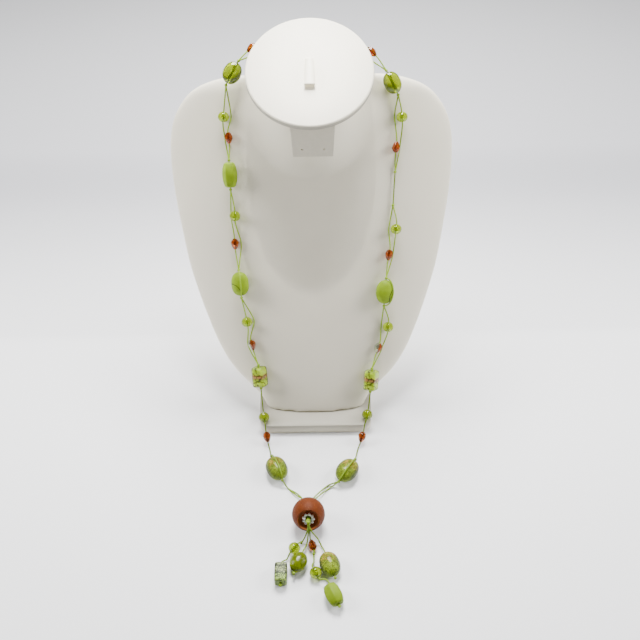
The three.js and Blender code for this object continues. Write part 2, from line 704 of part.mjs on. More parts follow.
// The strand that lies over a bead's face, from knot to knot
function overPoints(frame, from, to) {
  const { row, centre, along, across, out } = frame;
  const kind = beadKind(row);
  const reach = kind.length / 2 + KNOT_RADIUS + GAP;
  const height = kind.thick / 2 + THREAD_RADIUS + OVER_GAP;
  const points = [from];
  const steps = 7;
  for (let i = 1; i < steps; i += 1) {
    const angle = (i / steps - 0.5) * Math.PI;
    const [c, s] = [Math.abs(Math.cos(angle)) ** (2 / OVAL_POWER), Math.sin(angle)];
    const aside = Math.asin(row.over);
    points.push(centre.clone()
      .addScaledVector(along, reach * Math.sign(s) * Math.abs(s) ** (2 / OVAL_POWER))
      .addScaledVector(out, height * c * Math.cos(aside))
      .addScaledVector(across, (kind.width / 2 + THREAD_RADIUS + OVER_GAP) * c * Math.sin(aside)));
  }
  return [...points, to];
}

function sideThread(placed, starts, ends) {
  const pieces = [];
  let from = starts;
  let loose = [];
  const run = (to) => {
    const strands = loose.length && loose.every(({ row }) => row.strand === 'both') ? ['one'] : ['one', 'two'];
    strands.forEach((strand, i) => {
      const start = from[i] ?? from[0];
      const points = loose.flatMap((frame) => strandPoints(frame, strand));
      pieces.push(thread([start, ...points, to[i] ?? to[0]]));
    });
    loose = [];
  };
  for (const frame of placed) {
    if (!isStation(frame.row)) {
      loose.push(frame);
    } else if (frame.row.bead === 'knot') {
      run([frame.centre]);
      pieces.push(knot(frame.centre));
      from = [frame.centre];
    } else {
      const [before, after] = mouths(frame, KNOT_RADIUS + GAP);
      run([before]);
      pieces.push(knot(before), knot(after), thread([before, after]));
      if (frame.row.over !== undefined) pieces.push(thread(overPoints(frame, before, after)));
      from = [after];
    }
  }
  run(ends);
  return joined(pieces);
}

// Large bead with a dished face, tilted up to the front, and its cap

const LARGE_CENTRE = new THREE.Vector3(PENDANT.x, PENDANT.y, LARGE_RADIUS);
const LARGE_AXIS = new THREE.Vector3(0, -Math.cos(LARGE_TILT), Math.sin(LARGE_TILT));
const LARGE_RIM = Math.sqrt(LARGE_RADIUS ** 2 - DISH_RADIUS ** 2);
const DISH_FLOOR = LARGE_RIM - DISH_DEPTH;
const onLargeAxis = (along) => LARGE_CENTRE.clone().addScaledVector(LARGE_AXIS, along);

function largeBead() {
  const back = -Math.sqrt(LARGE_RADIUS ** 2 - LARGE_BORE ** 2);
  const points = [new THREE.Vector2(LARGE_BORE, back)];
  const [start, end, steps] = [Math.asin(back / LARGE_RADIUS), Math.asin(LARGE_RIM / LARGE_RADIUS), 10];
  for (let i = 1; i <= steps; i += 1) {
    const angle = start + (end - start) * (i / steps);
    points.push(new THREE.Vector2(LARGE_RADIUS * Math.cos(angle), LARGE_RADIUS * Math.sin(angle)));
  }
  points.push(new THREE.Vector2(DISH_FLOOR_RADIUS, DISH_FLOOR), new THREE.Vector2(LARGE_BORE, DISH_FLOOR));
  points.push(points[0].clone());
  return new THREE.LatheGeometry(points, LARGE_SIDES);
}

// The cap is a shallow dish with balls round its edge
function capGeometry() {
  const inner = STEM_RADIUS + GAP;
  const dish = new THREE.LatheGeometry([
    [inner, 0], [CAP_RADIUS, CAP_RISE], [CAP_RADIUS, CAP_RISE + CAP_THICKNESS], [inner, CAP_THICKNESS], [inner, 0],
  ].map(([r, y]) => new THREE.Vector2(r, y)), 18);
  const balls = [];
  for (let i = 0; i < CAP_BALLS; i += 1) {
    const angle = (i / CAP_BALLS) * 2 * Math.PI;
    balls.push(new THREE.SphereGeometry(CAP_BALL_RADIUS, 6, 4).translate(
      CAP_RADIUS * Math.sin(angle), CAP_RISE + CAP_THICKNESS / 2, CAP_RADIUS * Math.cos(angle)));
  }
  return joined([dish, ...balls]);
}

const large = addPiece('large_bead', largeBead(), JASPER);
large.position.copy(LARGE_CENTRE);
large.quaternion.setFromUnitVectors(new THREE.Vector3(0, 1, 0), LARGE_AXIS);
const cap = addPiece('bead_cap', capGeometry(), SILVER);
cap.position.copy(onLargeAxis(DISH_FLOOR + GAP));
cap.quaternion.copy(large.quaternion);

// The two sides of the string. Their strands meet at the nape and end at the knot behind the large bead.

const BACK_KNOT = onLargeAxis(-LARGE_RADIUS - STEM_KNOT_RADIUS - GAP / 2);
const NAPE = { up: CHEST_LENGTH + 10.2, out: -12, apart: 0.85 };
const PENDANT_ENDS = { x: 1.3, apart: 0.75, back: STEM_KNOT_RADIUS + 2 * GAP };

function sideEnds(sign) {
  const starts = [-1, 1].map((way) => onChestPlane(sign * GAP, NAPE.up + way * NAPE.apart, NAPE.out));
  const ends = [-1, 1].map((way) => BACK_KNOT.clone().add(
    new THREE.Vector3(sign * (PENDANT_ENDS.x + PENDANT_ENDS.apart * (1 + way)), PENDANT_ENDS.back, 0)));
  return { starts, ends };
}

function addSide(side, sign, rows) {
  const { starts, ends } = sideEnds(sign);
  const placed = frames(rows, starts[0], ends[0]);
  addBeads(side, placed);
  addPiece(`${side}_thread`, sideThread(placed, starts, ends), CORD);
}

addSide('left', -1, LEFT_STRING);
addSide('right', 1, RIGHT_STRING);

// Tassel: a stem through the large bead with a knot at each end, and four strands from the front knot

function tassel() {
  const front = onLargeAxis(DISH_FLOOR + GAP + CAP_THICKNESS + STEM_KNOT_RADIUS + 2 * GAP);
  const pieces = [
    tube([BACK_KNOT, front], STEM_RADIUS), knot(BACK_KNOT, STEM_KNOT_RADIUS), knot(front, STEM_KNOT_RADIUS)];
  const all = [];
  for (const rows of TASSEL) {
    const last = rowCentre(rows[rows.length - 1]);
    const beyond = last.clone().multiplyScalar(2).sub(rowCentre(rows[rows.length - 2]));
    const placed = frames(rows, front, beyond);
    const points = placed.flatMap((frame) => strandPoints(frame, 'one'));
    const end = mouths(placed[placed.length - 1], KNOT_RADIUS + GAP)[1];
    pieces.push(thread([front, ...points, end]), knot(end));
    pieces.push(...placed.filter(({ row }) => row.bead === 'knot').map(({ centre }) => knot(centre)));
    all.push(...placed);
  }
  addBeads('tassel', all);
  addPiece('tassel_threads', joined(pieces), CORD);
}

tassel();

export default part;
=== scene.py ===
"""A long beaded necklace lying on a white neck bust.

The string is waxed cord carrying glass and stone beads. It ends in a red-brown stone with a silver cap and a
tassel. Lengths in the tables are millimetres in the row frame, with +Z up and the front of the bust along -Y.
"""

import math

import bmesh
import bpy
import numpy as np
from mathutils import Matrix, Vector


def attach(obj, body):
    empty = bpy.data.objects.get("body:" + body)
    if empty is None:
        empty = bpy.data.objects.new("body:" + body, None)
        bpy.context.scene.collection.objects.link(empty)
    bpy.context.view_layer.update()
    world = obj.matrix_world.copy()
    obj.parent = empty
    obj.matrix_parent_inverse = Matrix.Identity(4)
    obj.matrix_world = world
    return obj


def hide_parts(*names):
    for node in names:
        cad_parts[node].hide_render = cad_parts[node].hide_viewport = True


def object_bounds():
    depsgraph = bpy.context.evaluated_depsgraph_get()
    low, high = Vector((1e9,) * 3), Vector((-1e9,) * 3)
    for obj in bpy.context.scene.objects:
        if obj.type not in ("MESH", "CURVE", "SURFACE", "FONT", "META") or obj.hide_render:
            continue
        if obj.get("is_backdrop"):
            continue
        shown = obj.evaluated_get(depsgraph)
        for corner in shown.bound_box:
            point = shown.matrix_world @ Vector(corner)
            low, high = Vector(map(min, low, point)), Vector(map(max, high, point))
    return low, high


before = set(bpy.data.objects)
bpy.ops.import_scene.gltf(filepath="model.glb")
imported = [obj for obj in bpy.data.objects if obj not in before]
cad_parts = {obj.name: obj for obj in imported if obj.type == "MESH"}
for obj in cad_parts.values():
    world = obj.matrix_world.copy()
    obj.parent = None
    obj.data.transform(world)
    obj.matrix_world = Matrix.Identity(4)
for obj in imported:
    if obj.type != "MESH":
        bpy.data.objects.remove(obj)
CAD_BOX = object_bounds()

bl_info = {
    "name": "Beaded necklace on a bust",
    "version": (1, 0, 0),
    "blender": (4, 5, 0),
    "location": "View3D > Sidebar > Necklace",
    "description": "Builds the beads, cord, cap, bust and stage of a beaded necklace over its packed solids",
    "category": "Object",
}

MM = 0.001

# Foot board, chest, pad and neck
FOOT_DEPTH = 176.0
FOOT_FRONT_WIDTH = 84.5
FOOT_BACK_WIDTH = 94.0
FOOT_HEIGHT = 8.5
FOOT_CORNER = 8.5
FOOT_EDGE = 0.7
# Share of painted shade on the foot board's top
FOOT_PAINTED_SHADE = 0.48
CHEST_SETBACK = 12.0
CHEST_RECLINE = math.radians(33)
CHEST_LENGTH = 249.0
CHEST_HALF_WIDTH = 106.0
CHEST_THICKNESS = 14.0
CHEST_BOW_RADIUS = 214.0
CHEST_RIM_POWER = 5.0
CHEST_TOP_THINNING = 0.45
CUT_ROOM = 500.0
SKIN_VOXEL = 1.5
SKIN_EASING = (0.5, 8)
CHEST_OUTLINE = (
    (-0.1, 0.35), (0.0, 0.35), (0.045, 0.38), (0.09, 0.48), (0.125, 0.565), (0.17, 0.642), (0.22, 0.703),
    (0.3, 0.778), (0.38, 0.843), (0.46, 0.896), (0.55, 0.936), (0.64, 0.972), (0.72, 0.994), (0.79, 1.0),
    (0.84, 0.99), (0.89, 0.957), (0.935, 0.888), (0.97, 0.788), (0.99, 0.655), (1.0, 0.52),
)
PAD_RADIUS = 44.0
PAD_THICKNESS = 5.0
PAD_EDGE = 1.5
# Painted shade on the pad's edge and underside, from this depth below its top face
PAD_PAINTED_SHADE = 0.5
PAD_UNSHADED_DEPTH = 0.7
SEAM_HALF = 0.5
SEAM_DEPTH = 0.8
PAD_UP = 248.9
PAD_OUT = 18.0
PAD_TILT = math.radians(26)
NECK_RADIUS = 33.0
NECK_LEAN = math.radians(12)
NECK_FRONT_FILLET = 25.0
NECK_SIDE_FILLET = 17.0
NECK_ROOT = 3.5
GAP = 0.3

# Tongue and tab
TONGUE_LENGTH = 22.0
TONGUE_TOP = 9.0
TONGUE_WIDTHS = (5.7, 7.4)
TONGUE_THICKNESS = 1.5
TONGUE_RISE = math.radians(4)
TAB_HEIGHT = 24.1
TAB_WIDTHS = (30.5, 28.0)
TAB_THICKNESS = 1.6
TAB_OVERHANG = 6.0
TAB_OFFSET = 1.5
PIN_SPACING = 15.0
PIN_RADIUS = 0.7
PIN_HEIGHT = 5.8

# Beads: length along the bore, width and flat way
BEAD_SIZES = {
    "small": (7.6, 8.0, 8.0),
    "amber": (7.8, 6.0, 6.0),
    "green_oval": (15.6, 12.6, 9.6),
    "foil_oval": (19.6, 15.2, 11.0),
    "stone_oval": (17.6, 13.4, 10.8),
    "barrel": (17.8, 12.0, 10.6),
    "cuboid": (15.0, 9.2, 9.2),
}
BORE_RADIUS = 0.95
MOUTH_LIP = 0.35
DROP_BORE_RADIUS = 0.8
DROP_MOUTH = 0.3
DROP_SIDES = 8
CUBOID_ROUNDING = 1.1
CUBOID_POWER = 7.0
CUBOID_CASING = 1.6
KNOT_RADIUS = 1.25
TREFOIL_SCALE = 0.19
TREFOIL_CORD = 0.42
KNOT_HEART = 0.6
TASSEL_BARREL_CUT = 0.16
OVER_GAP = 0.3
BYPASS_ROOM = 0.9
MOUTH_REACH = 1.0

# Beads whose centre is lower than this lie on the table, and the glass of those lower still is deeper in
# colour, because the light is strongest there
TABLE_SEAT = 22.0
TABLE_LIGHT = 20.0

# Large bead, cap and stem
LARGE_CENTRE = Vector((-5.4, -165.1, 11.3))
LARGE_RADIUS = 11.3
LARGE_TILT = math.radians(30)
LARGE_AXIS = Vector((0, -math.cos(LARGE_TILT), math.sin(LARGE_TILT)))
DISH_RADIUS = 7.5
DISH_FLOOR_RADIUS = 5.0
DISH_DEPTH = 3.2
LARGE_BORE = 2.0
LARGE_RIM = math.sqrt(LARGE_RADIUS**2 - DISH_RADIUS**2)
DISH_FLOOR = LARGE_RIM - DISH_DEPTH
CAP_RADIUS = 3.6
CAP_THICKNESS = 0.7
CAP_RISE = 1.1
CAP_BALL_RADIUS = 0.92
CAP_BALLS = 9
STEM_RADIUS = 1.5
STEM_KNOT_RADIUS = 2.1
FRONT_KNOT_RADIUS = 1.5
STEM_SPREAD = 0.6
TASSEL_SPREAD = (1.0, -0.4, 0.3, -1.2)

CHEST_UP = Vector((0, math.sin(CHEST_RECLINE), math.cos(CHEST_RECLINE)))
CHEST_OUT = Vector((0, -math.cos(CHEST_RECLINE), math.sin(CHEST_RECLINE)))
CHEST_TOE = Vector((0, CHEST_SETBACK - FOOT_DEPTH / 2, FOOT_HEIGHT))
UP = Vector((0, 0, 1))
NAPE_UP = 259.2
NAPE_OUT = -12.0
NAPE_APART = 0.85


def on_chest_plane(x, up, out):
    return CHEST_TOE + Vector((x, 0, 0)) + CHEST_UP * up + CHEST_OUT * out


# Route of the cord, in order from the nape. A bead row names its node; pass is the side on which the strand
# that isn't strung on it goes by, and over how far aside a strand lies on its face. apart is between strands.
LEFT_ROUTE = (
    {"at": on_chest_plane(-12, 259.4, -12)},
    {"at": on_chest_plane(-32, 267.5, -9.5)},
    {"bead": "left_amber_1", "strand": "one", "pass": 1, "free": True},
    {"bead": "left_green_oval_1"},
    {"bead": "left_small_1", "strand": "one", "pass": 1},
    {"bead": "left_amber_2", "strand": "two", "pass": -1},
    {"bead": "left_barrel_1"},
    {"bead": "left_small_2", "strand": "one", "pass": -1},
    {"bead": "left_amber_3", "strand": "two", "pass": 1},
    {"bead": "left_stone_oval_1", "over": 0.36},
    {"bead": "left_small_3", "strand": "one", "pass": 1},
    {"bead": "left_amber_4", "strand": "two", "pass": -1},
    {"bead": "left_cuboid_1"},
    {"bead": "left_small_4", "strand": "both"},
    {"at": Vector((-37.6, -89.1, 10))},
    {"bead": "left_amber_5", "strand": "both"},
    {"at": Vector((-34.6, -102.6, 1.6))},
    {"bead": "left_foil_oval_1", "over": 0.08},
    {"at": Vector((-20.3, -137.4, 0.85))},
    {"at": Vector((-14, -143.2, 1.8)), "apart": 1.3},
)
RIGHT_ROUTE = (
    {"at": on_chest_plane(12, 259.4, -12)},
    {"at": on_chest_plane(33, 265, -9.5)},
    {"bead": "right_amber_1", "strand": "one", "pass": -1, "free": True},
    {"bead": "right_green_oval_1"},
    {"bead": "right_small_1", "strand": "one", "pass": -1},
    {"bead": "right_amber_2", "strand": "two", "pass": 1},
    {"knot": (60.5, 179.8)},
    {"knot": (59.1, 156.1)},
    {"bead": "right_small_2", "strand": "one", "pass": -1},
    {"bead": "right_amber_3", "strand": "two", "pass": 1},
    {"bead": "right_stone_oval_1", "over": 0.62},
    {"bead": "right_small_3", "strand": "one", "pass": -1},
    {"bead": "right_amber_4", "strand": "two", "pass": 1},
    {"bead": "right_cuboid_1"},
    {"bead": "right_small_4", "strand": "both"},
    {"at": Vector((36.6, -89.6, 10))},
    {"bead": "right_amber_5", "strand": "both"},
    {"at": Vector((31.6, -103.6, 1.6))},
    {"bead": "right_foil_oval_1", "over": 0.15},
    {"at": Vector((9.6, -136.4, 0.85)), "apart": 2.4},
    {"at": Vector((4, -141.6, 1.8)), "apart": 2.0},
)
TASSEL_ROUTES = (
    (
        {"at": Vector((-6.5, -177.8, 9.6))},
        {"at": Vector((-8.9, -179.9, 3.2))},
        {"at": Vector((-10.4, -181.4, 1.9)), "knotted": True},
        {"bead": "tassel_small_1", "strand": "one"},
        {"at": Vector((-19.9, -193, 1.4))},
        {"bead": "tassel_cuboid_1", "strand": "one"},
    ),
    (
        {"at": Vector((-5.6, -178.6, 9.4))},
        {"at": Vector((-6.8, -183.2, 3))},
        {"bead": "tassel_green_oval_1", "strand": "one"},
    ),
    (
        {"at": Vector((-4.5, -178, 10.6))},
        {"bead": "tassel_amber_1", "strand": "one"},
        {"at": Vector((-2, -189.6, 1.9)), "knotted": True},
        {"at": Vector((-2, -195, 1.4))},
        {"bead": "tassel_small_2", "strand": "one"},
        {"bead": "tassel_barrel_1", "strand": "one"},
    ),
    (
        {"at": Vector((-3.0, -178.2, 10.0))},
        {"at": Vector((0.8, -180.2, 4.6))},
        {"at": Vector((3.4, -184.4, 1.6))},
        {"bead": "tassel_foil_oval_1", "strand": "one"},
    ),
)
BEAD_NODES = sorted(
    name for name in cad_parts
    if name.split("_")[0] in ("left", "right", "tassel") and not name.endswith(("thread", "threads")))


def kind_of(node):
    """The kind of bead that a node's name gives, such as green_oval for left_green_oval_1."""
    return "_".join(node.split("_")[1:-1])


# Settings

def colour(name, what, default):
    return bpy.props.FloatVectorProperty(
        name=name, description=what, default=hex_rgb(default), subtype="COLOR", size=3, min=0, max=1)


def hex_rgb(code):
    """An sRGB hex colour as linear red, green and blue."""
    parts = (int(code[i:i + 2], 16) / 255 for i in (1, 3, 5))
    return tuple(p / 12.92 if p <= 0.04045 else ((p + 0.055) / 1.055) ** 2.4 for p in parts)


class NecklaceBeadSettings(bpy.types.PropertyGroup):
    clear_colour: colour("Clear glass", "Colour of light through the clear lime glass", "#A6BC08")
    amber_colour: colour("Amber glass", "Colour of light through the faceted amber glass", "#B9590C")
    stone_colour: colour("Lime stone", "Main colour of the opaque lime ovals and barrels", "#849F18")
    large_colour: colour("Red-brown stone", "Main colour of the large bead", "#5C2B11")
    around: bpy.props.IntProperty(
        name="Sides", description="Sides of a round bead's skin", default=48, min=12, max=96)


class NecklaceCordSettings(bpy.types.PropertyGroup):
    radius: bpy.props.FloatProperty(
        name="Cord radius", description="Radius of the waxed cord", default=0.55 * MM, unit="LENGTH",
        min=0.3 * MM, max=0.7 * MM, precision=5)
    pitch: bpy.props.FloatProperty(
        name="Twist pitch", description="Length of one turn of the cord's plies", default=3.4 * MM,
        unit="LENGTH", min=1 * MM, max=20 * MM, precision=4)
    cord_colour: colour("Cord", "Colour of the waxed cord", "#A4C62E")


class NecklaceBustSettings(bpy.types.PropertyGroup):
    skin_colour: colour("Leatherette", "Colour of the leatherette that covers the bust", "#E8E1CD")
    grain: bpy.props.FloatProperty(
        name="Grain", description="Width of one pebble of the leatherette's grain", default=0.9 * MM,
        unit="LENGTH", min=0.2 * MM, max=4 * MM, precision=4)


class NecklaceStageSettings(bpy.types.PropertyGroup):
    floor_colour: colour("Floor", "Colour of the plain floor near the bust", "#F3F3F4")
    # The colour of a painted shade on the floor behind the bust
    painted_shade_floor_colour: colour("Far floor", "Colour of the plain floor just behind the bust", "#A9A9AD")
    overhead: bpy.props.FloatProperty(
        name="Overhead light", description="Power of the large light overhead", default=17.0, unit="POWER",
        min=0)


# Meshes

def mesh_object(name, vertices, faces, smooth=True, edges=()):
    """An object at the origin from vertices in millimetres."""
    mesh = bpy.data.meshes.new(name)
    mesh.from_pydata([tuple(Vector(v) * MM) for v in vertices], edges, [tuple(map(int, f)) for f in faces])
    mesh.update()
    mesh.polygons.foreach_set("use_smooth", [smooth] * len(mesh.polygons))
    thing = bpy.data.objects.new(name, mesh)
    bpy.context.collection.objects.link(thing)
    return thing


def keep(thing, name, kind, values):
    """Keeps a value at each of a piece's corners, as an attribute for its material or its tree."""
    held = thing.data.attributes.new(name, kind, "POINT")
    held.data.foreach_set("vector" if kind == "FLOAT_VECTOR" else "value", np.ravel(values))
    return thing


def tidy_normals(thing):
    """Merges doubles and turns every face outward."""
    bm = bmesh.new()
    bm.from_mesh(thing.data)
    bmesh.ops.remove_doubles(bm, verts=bm.verts, dist=0.002 * MM)
    bmesh.ops.recalc_face_normals(bm, faces=bm.faces)
    bm.to_mesh(thing.data)
    bm.free()
    thing.data.update()
    return thing


def loft(rings, ringed=False):
    """Vertices and faces through rings of equal length, with capped ends; ringed joins the last ring to the
    first instead."""
    count = len(rings[0])
    vertices = [Vector(p) for ring in rings for p in ring]
    faces = []
    for k in range(len(rings) if ringed else len(rings) - 1):
        low, high = k * count, ((k + 1) % len(rings)) * count
        for i in range(count):
            j = (i + 1) % count
            faces.append((low + i, low + j, high + j, high + i))
    if not ringed:
        faces.append(tuple(reversed(range(count))))
        faces.append(tuple(range((len(rings) - 1) * count, len(rings) * count)))
    return vertices, faces


def circle(radius, sides, offset=0.0, turn=0.0):
    """Points round a circle, set round by offset of a side and by turn."""
    angles = [2 * math.pi * (i + offset) / sides + turn for i in range(sides)]
    return [(radius * math.cos(angle), radius * math.sin(angle)) for angle in angles]


def turned_rings(rows, sides, offset=0.0):
    """The rings of a turned shape, from its (radius, height) rows."""
    return [[(x, y, height) for x, y in circle(radius, sides, offset)] for radius, height in rows]


def mirrored(rows, middle):
    """(size, height) rows up to the middle row, and the same rows again above it."""
    return [*rows, middle, *((size, -height) for size, height in reversed(rows))]


def finished(thing, node, material):
    """Gives a piece its material, hangs it from the root body and hides the solid it stands for."""
    thing.data.materials.clear()
    thing.data.materials.append(material)
    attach(thing, "root")
    if node:
        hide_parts(node)
    return thing


def baked(thing):
    """Turns an object's modifiers into its plain mesh."""
    bpy.context.view_layer.update()
    evaluated = thing.evaluated_get(bpy.context.evaluated_depsgraph_get())
    mesh = bpy.data.meshes.new_from_object(evaluated)
    thing.modifiers.clear()
    thing.data = mesh
    return thing


def cut_with(thing, tool, operation):
    """Joins a closed tool to a piece, or cuts the piece with it, once the piece is baked."""
    cut = thing.modifiers.new(operation.lower(), "BOOLEAN")
    cut.object, cut.operation, cut.solver = tool, operation, "EXACT"


# Materials

SMOOTH = {"interpolation_type": "SMOOTHSTEP"}
COLOURS = {"data_type": "RGBA"}
CELL_EDGES = {"feature": "DISTANCE_TO_EDGE"}
TIMES = {"operation": "MULTIPLY"}
TIMES_PLUS = {"operation": "MULTIPLY_ADD"}
SCALED = {"operation": "SCALE"}


def add(tree, kind, settings=None, inputs=None):
    """A new node with its settings, and its inputs set or linked. A node given to an input stands for its
    first output, and a list for several links into one input."""
    made = tree.nodes.new(kind)
    for key, value in (settings or {}).items():
        setattr(made, key, value)
    for key, value in (inputs or {}).items():
        for source in value if isinstance(value, list) else [value]:
            source = source.outputs[0] if isinstance(source, bpy.types.Node) else source
            if isinstance(source, bpy.types.NodeSocket):
                tree.links.new(source, made.inputs[key])
            else:
                made.inputs[key].default_value = source
    return made


def new_material(name, local=False):
    """An empty material, its tree, and what its patterns read: Object coordinates, or a bead's own
    millimetres from the attribute place."""
    material = bpy.data.materials.new(name)
    material.use_nodes = True
    tree = material.node_tree
    tree.nodes.clear()
    add(tree, "ShaderNodeOutputMaterial")
    if local:
        place = add(tree, "ShaderNodeAttribute", {"attribute_name": "place"}).outputs["Vector"]
    else:
        place = add(tree, "ShaderNodeTexCoord").outputs["Object"]
    return material, tree, place


def surfaced(material, shader):
    """Links a material's last shader to its surface."""
    tree = material.node_tree
    tree.links.new(shader.outputs[0], tree.nodes["Material Output"].inputs["Surface"])
    return material


def rgba(linear):
    return (*linear, 1.0)


def shade(linear, share):
    """A colour made darker or lighter, and kept in range."""
    return tuple(min(c * share, 1) for c in linear)


def stops(ramp, *rows):
    """Gives a colour ramp its (place, colour) rows. A colour is hex or linear."""
    rows = [(at, rgba(hex_rgb(tone) if isinstance(tone, str) else tone)) for at, tone in rows]
    elements = ramp.color_ramp.elements
    for element, (at, tone) in zip(elements, (rows[0], rows[-1])):
        element.position, element.color = at, tone
    for at, tone in rows[1:-1]:
        elements.new(at).color = tone
    return ramp


def leatherette(settings):
    """Embossed polyurethane leatherette, glued over board: a fine pebble grain with a low satin gloss, and
    darkened by a painted shade where its shade attribute says so."""
    material, tree, place = new_material("white_leatherette")
    pebbles = add(tree, "ShaderNodeTexVoronoi", {"feature": "SMOOTH_F1"}, {
        "Vector": place, "Scale": 1 / settings.grain, "Smoothness": 0.6, "Randomness": 1.0})
    creases = add(tree, "ShaderNodeTexNoise", None, {
        "Vector": place, "Scale": 1 / (3.1 * settings.grain), "Detail": 4.0, "Roughness": 0.6})
    height = add(tree, "ShaderNodeMath", TIMES_PLUS, {0: creases, 1: 0.6, 2: pebbles})
    bump = add(tree, "ShaderNodeBump", None, {"Height": height, "Strength": 0.35, "Distance": 0.12 * MM})
    hand = add(tree, "ShaderNodeTexNoise", None, {"Vector": place, "Scale": 28.0, "Detail": 3.0})
    tone = stops(add(tree, "ShaderNodeValToRGB", None, {"Fac": hand}),
                 (0.3, shade(settings.skin_colour, 0.965)), (0.7, settings.skin_colour))
    gloss = add(tree, "ShaderNodeMapRange", None, {"Value": pebbles, "To Min": 0.46, "To Max": 0.6})
    # Painted shade: the attribute darkens the pad's edge and underside and the foot board's top
    greyed = add(tree, "ShaderNodeAttribute", {"attribute_name": "greyed"}).outputs["Fac"]
    left = add(tree, "ShaderNodeMath", {"operation": "SUBTRACT"}, {0: 1.0, 1: greyed})
    shaded_tone = add(tree, "ShaderNodeVectorMath", SCALED, {0: tone, "Scale": left})
    return surfaced(material, add(tree, "ShaderNodeBsdfPrincipled", None, {
        "Base Color": shaded_tone, "Roughness": gloss, "IOR": 1.48, "Normal": bump}))


def card():
    """Coated card, stiffer than the leatherette behind it and a little darker, a painted shade under the pad.
    """
    material, tree, place = new_material("coated_card")
    pulp = add(tree, "ShaderNodeTexNoise", None, {"Vector": place, "Scale": 420.0, "Detail": 4.0})
    # Darker than the leatherette: a painted shade from the pad above
    tone = stops(add(tree, "ShaderNodeValToRGB", None, {"Fac": pulp}), (0.0, "#CDC6B2"), (1.0, "#D8D1BE"))
    return surfaced(material, add(tree, "ShaderNodeBsdfPrincipled", None, {
        "Base Color": tone, "Roughness": 0.55, "IOR": 1.48}))


def waxed_cord(settings):
    """Twisted cotton cord, dyed lime and waxed: a soft sheen, uneven dye along the fibres, and a painted
    shade that darkens it where it lies low."""
    material, tree, place = new_material("waxed_cotton_cord")
    fibre = add(tree, "ShaderNodeTexNoise", None, {"Vector": place, "Scale": 2600.0, "Detail": 2.0})
    tone = stops(add(tree, "ShaderNodeValToRGB", None, {"Fac": fibre}),
                 (0.3, shade(settings.cord_colour, 0.6)), (0.75, shade(settings.cord_colour, 1.1)))
    level = add(tree, "ShaderNodeSeparateXYZ", None, {"Vector": place}).outputs["Z"]
    # Painted shade: the cord darkens from 30 mm height down to 0.62 at 12 mm
    low_lying_shade = add(tree, "ShaderNodeMapRange", SMOOTH, {
        "Value": level, "From Min": 0.012, "From Max": 0.03, "To Min": 0.62, "To Max": 1.0})
    dyed = add(tree, "ShaderNodeVectorMath", SCALED, {0: tone, "Scale": low_lying_shade})
    bump = add(tree, "ShaderNodeBump", None, {"Height": fibre, "Strength": 0.4, "Distance": 0.05 * MM})
    return surfaced(material, add(tree, "ShaderNodeBsdfPrincipled", None, {
        "Base Color": dyed, "Roughness": 0.5, "IOR": 1.45, "Specular IOR Level": 0.3, "Normal": bump}))


def clear_glass(name, tint, clarity, roughness=0.04, gloss=0.3):
    """Lamp-rolled glass, coloured all through: light comes out of it in the glass's colour, and fine stria
    and seed bubbles in it scatter the rest."""
    material, tree, place = new_material(name, local=True)
    stria = add(tree, "ShaderNodeTexNoise", None, {
        "Vector": place, "Scale": 0.42, "Detail": 3.0, "Distortion": 0.8})
    tone = stops(add(tree, "ShaderNodeValToRGB", None, {"Fac": stria}),
                 (0.3, shade(tint, 0.7)), (0.72, shade(tint, 1.2)))
    bump = add(tree, "ShaderNodeBump", None, {"Height": stria, "Strength": 0.3, "Distance": 0.4 * MM})
    return surfaced(material, add(tree, "ShaderNodeBsdfPrincipled", None, {
        "Base Color": tone, "Roughness": roughness, "IOR": 1.5, "Specular IOR Level": gloss,
        "Transmission Weight": clarity, "Normal": bump}))


def coated_amber(tint):
    """Amber glass with a thin silvery coat fired on one half, as on half-coated crystal beads."""
    material, tree, place = new_material("half_coated_amber_glass", local=True)
    across = add(tree, "ShaderNodeSeparateXYZ", None, {"Vector": place}).outputs["X"]
    edge = add(tree, "ShaderNodeMapRange", SMOOTH, {"Value": across, "From Min": -0.9, "From Max": 0.1})
    clear = add(tree, "ShaderNodeBsdfPrincipled", None, {
        "Base Color": rgba(tint), "Roughness": 0.04, "IOR": 1.52, "Transmission Weight": 0.75})
    coat = add(tree, "ShaderNodeBsdfPrincipled", None, {
        "Base Color": rgba(hex_rgb("#AEB79A")), "Metallic": 0.85, "Roughness": 0.18})
    return surfaced(material, add(tree, "ShaderNodeMixShader", None, {0: edge, 1: coat, 2: clear}))


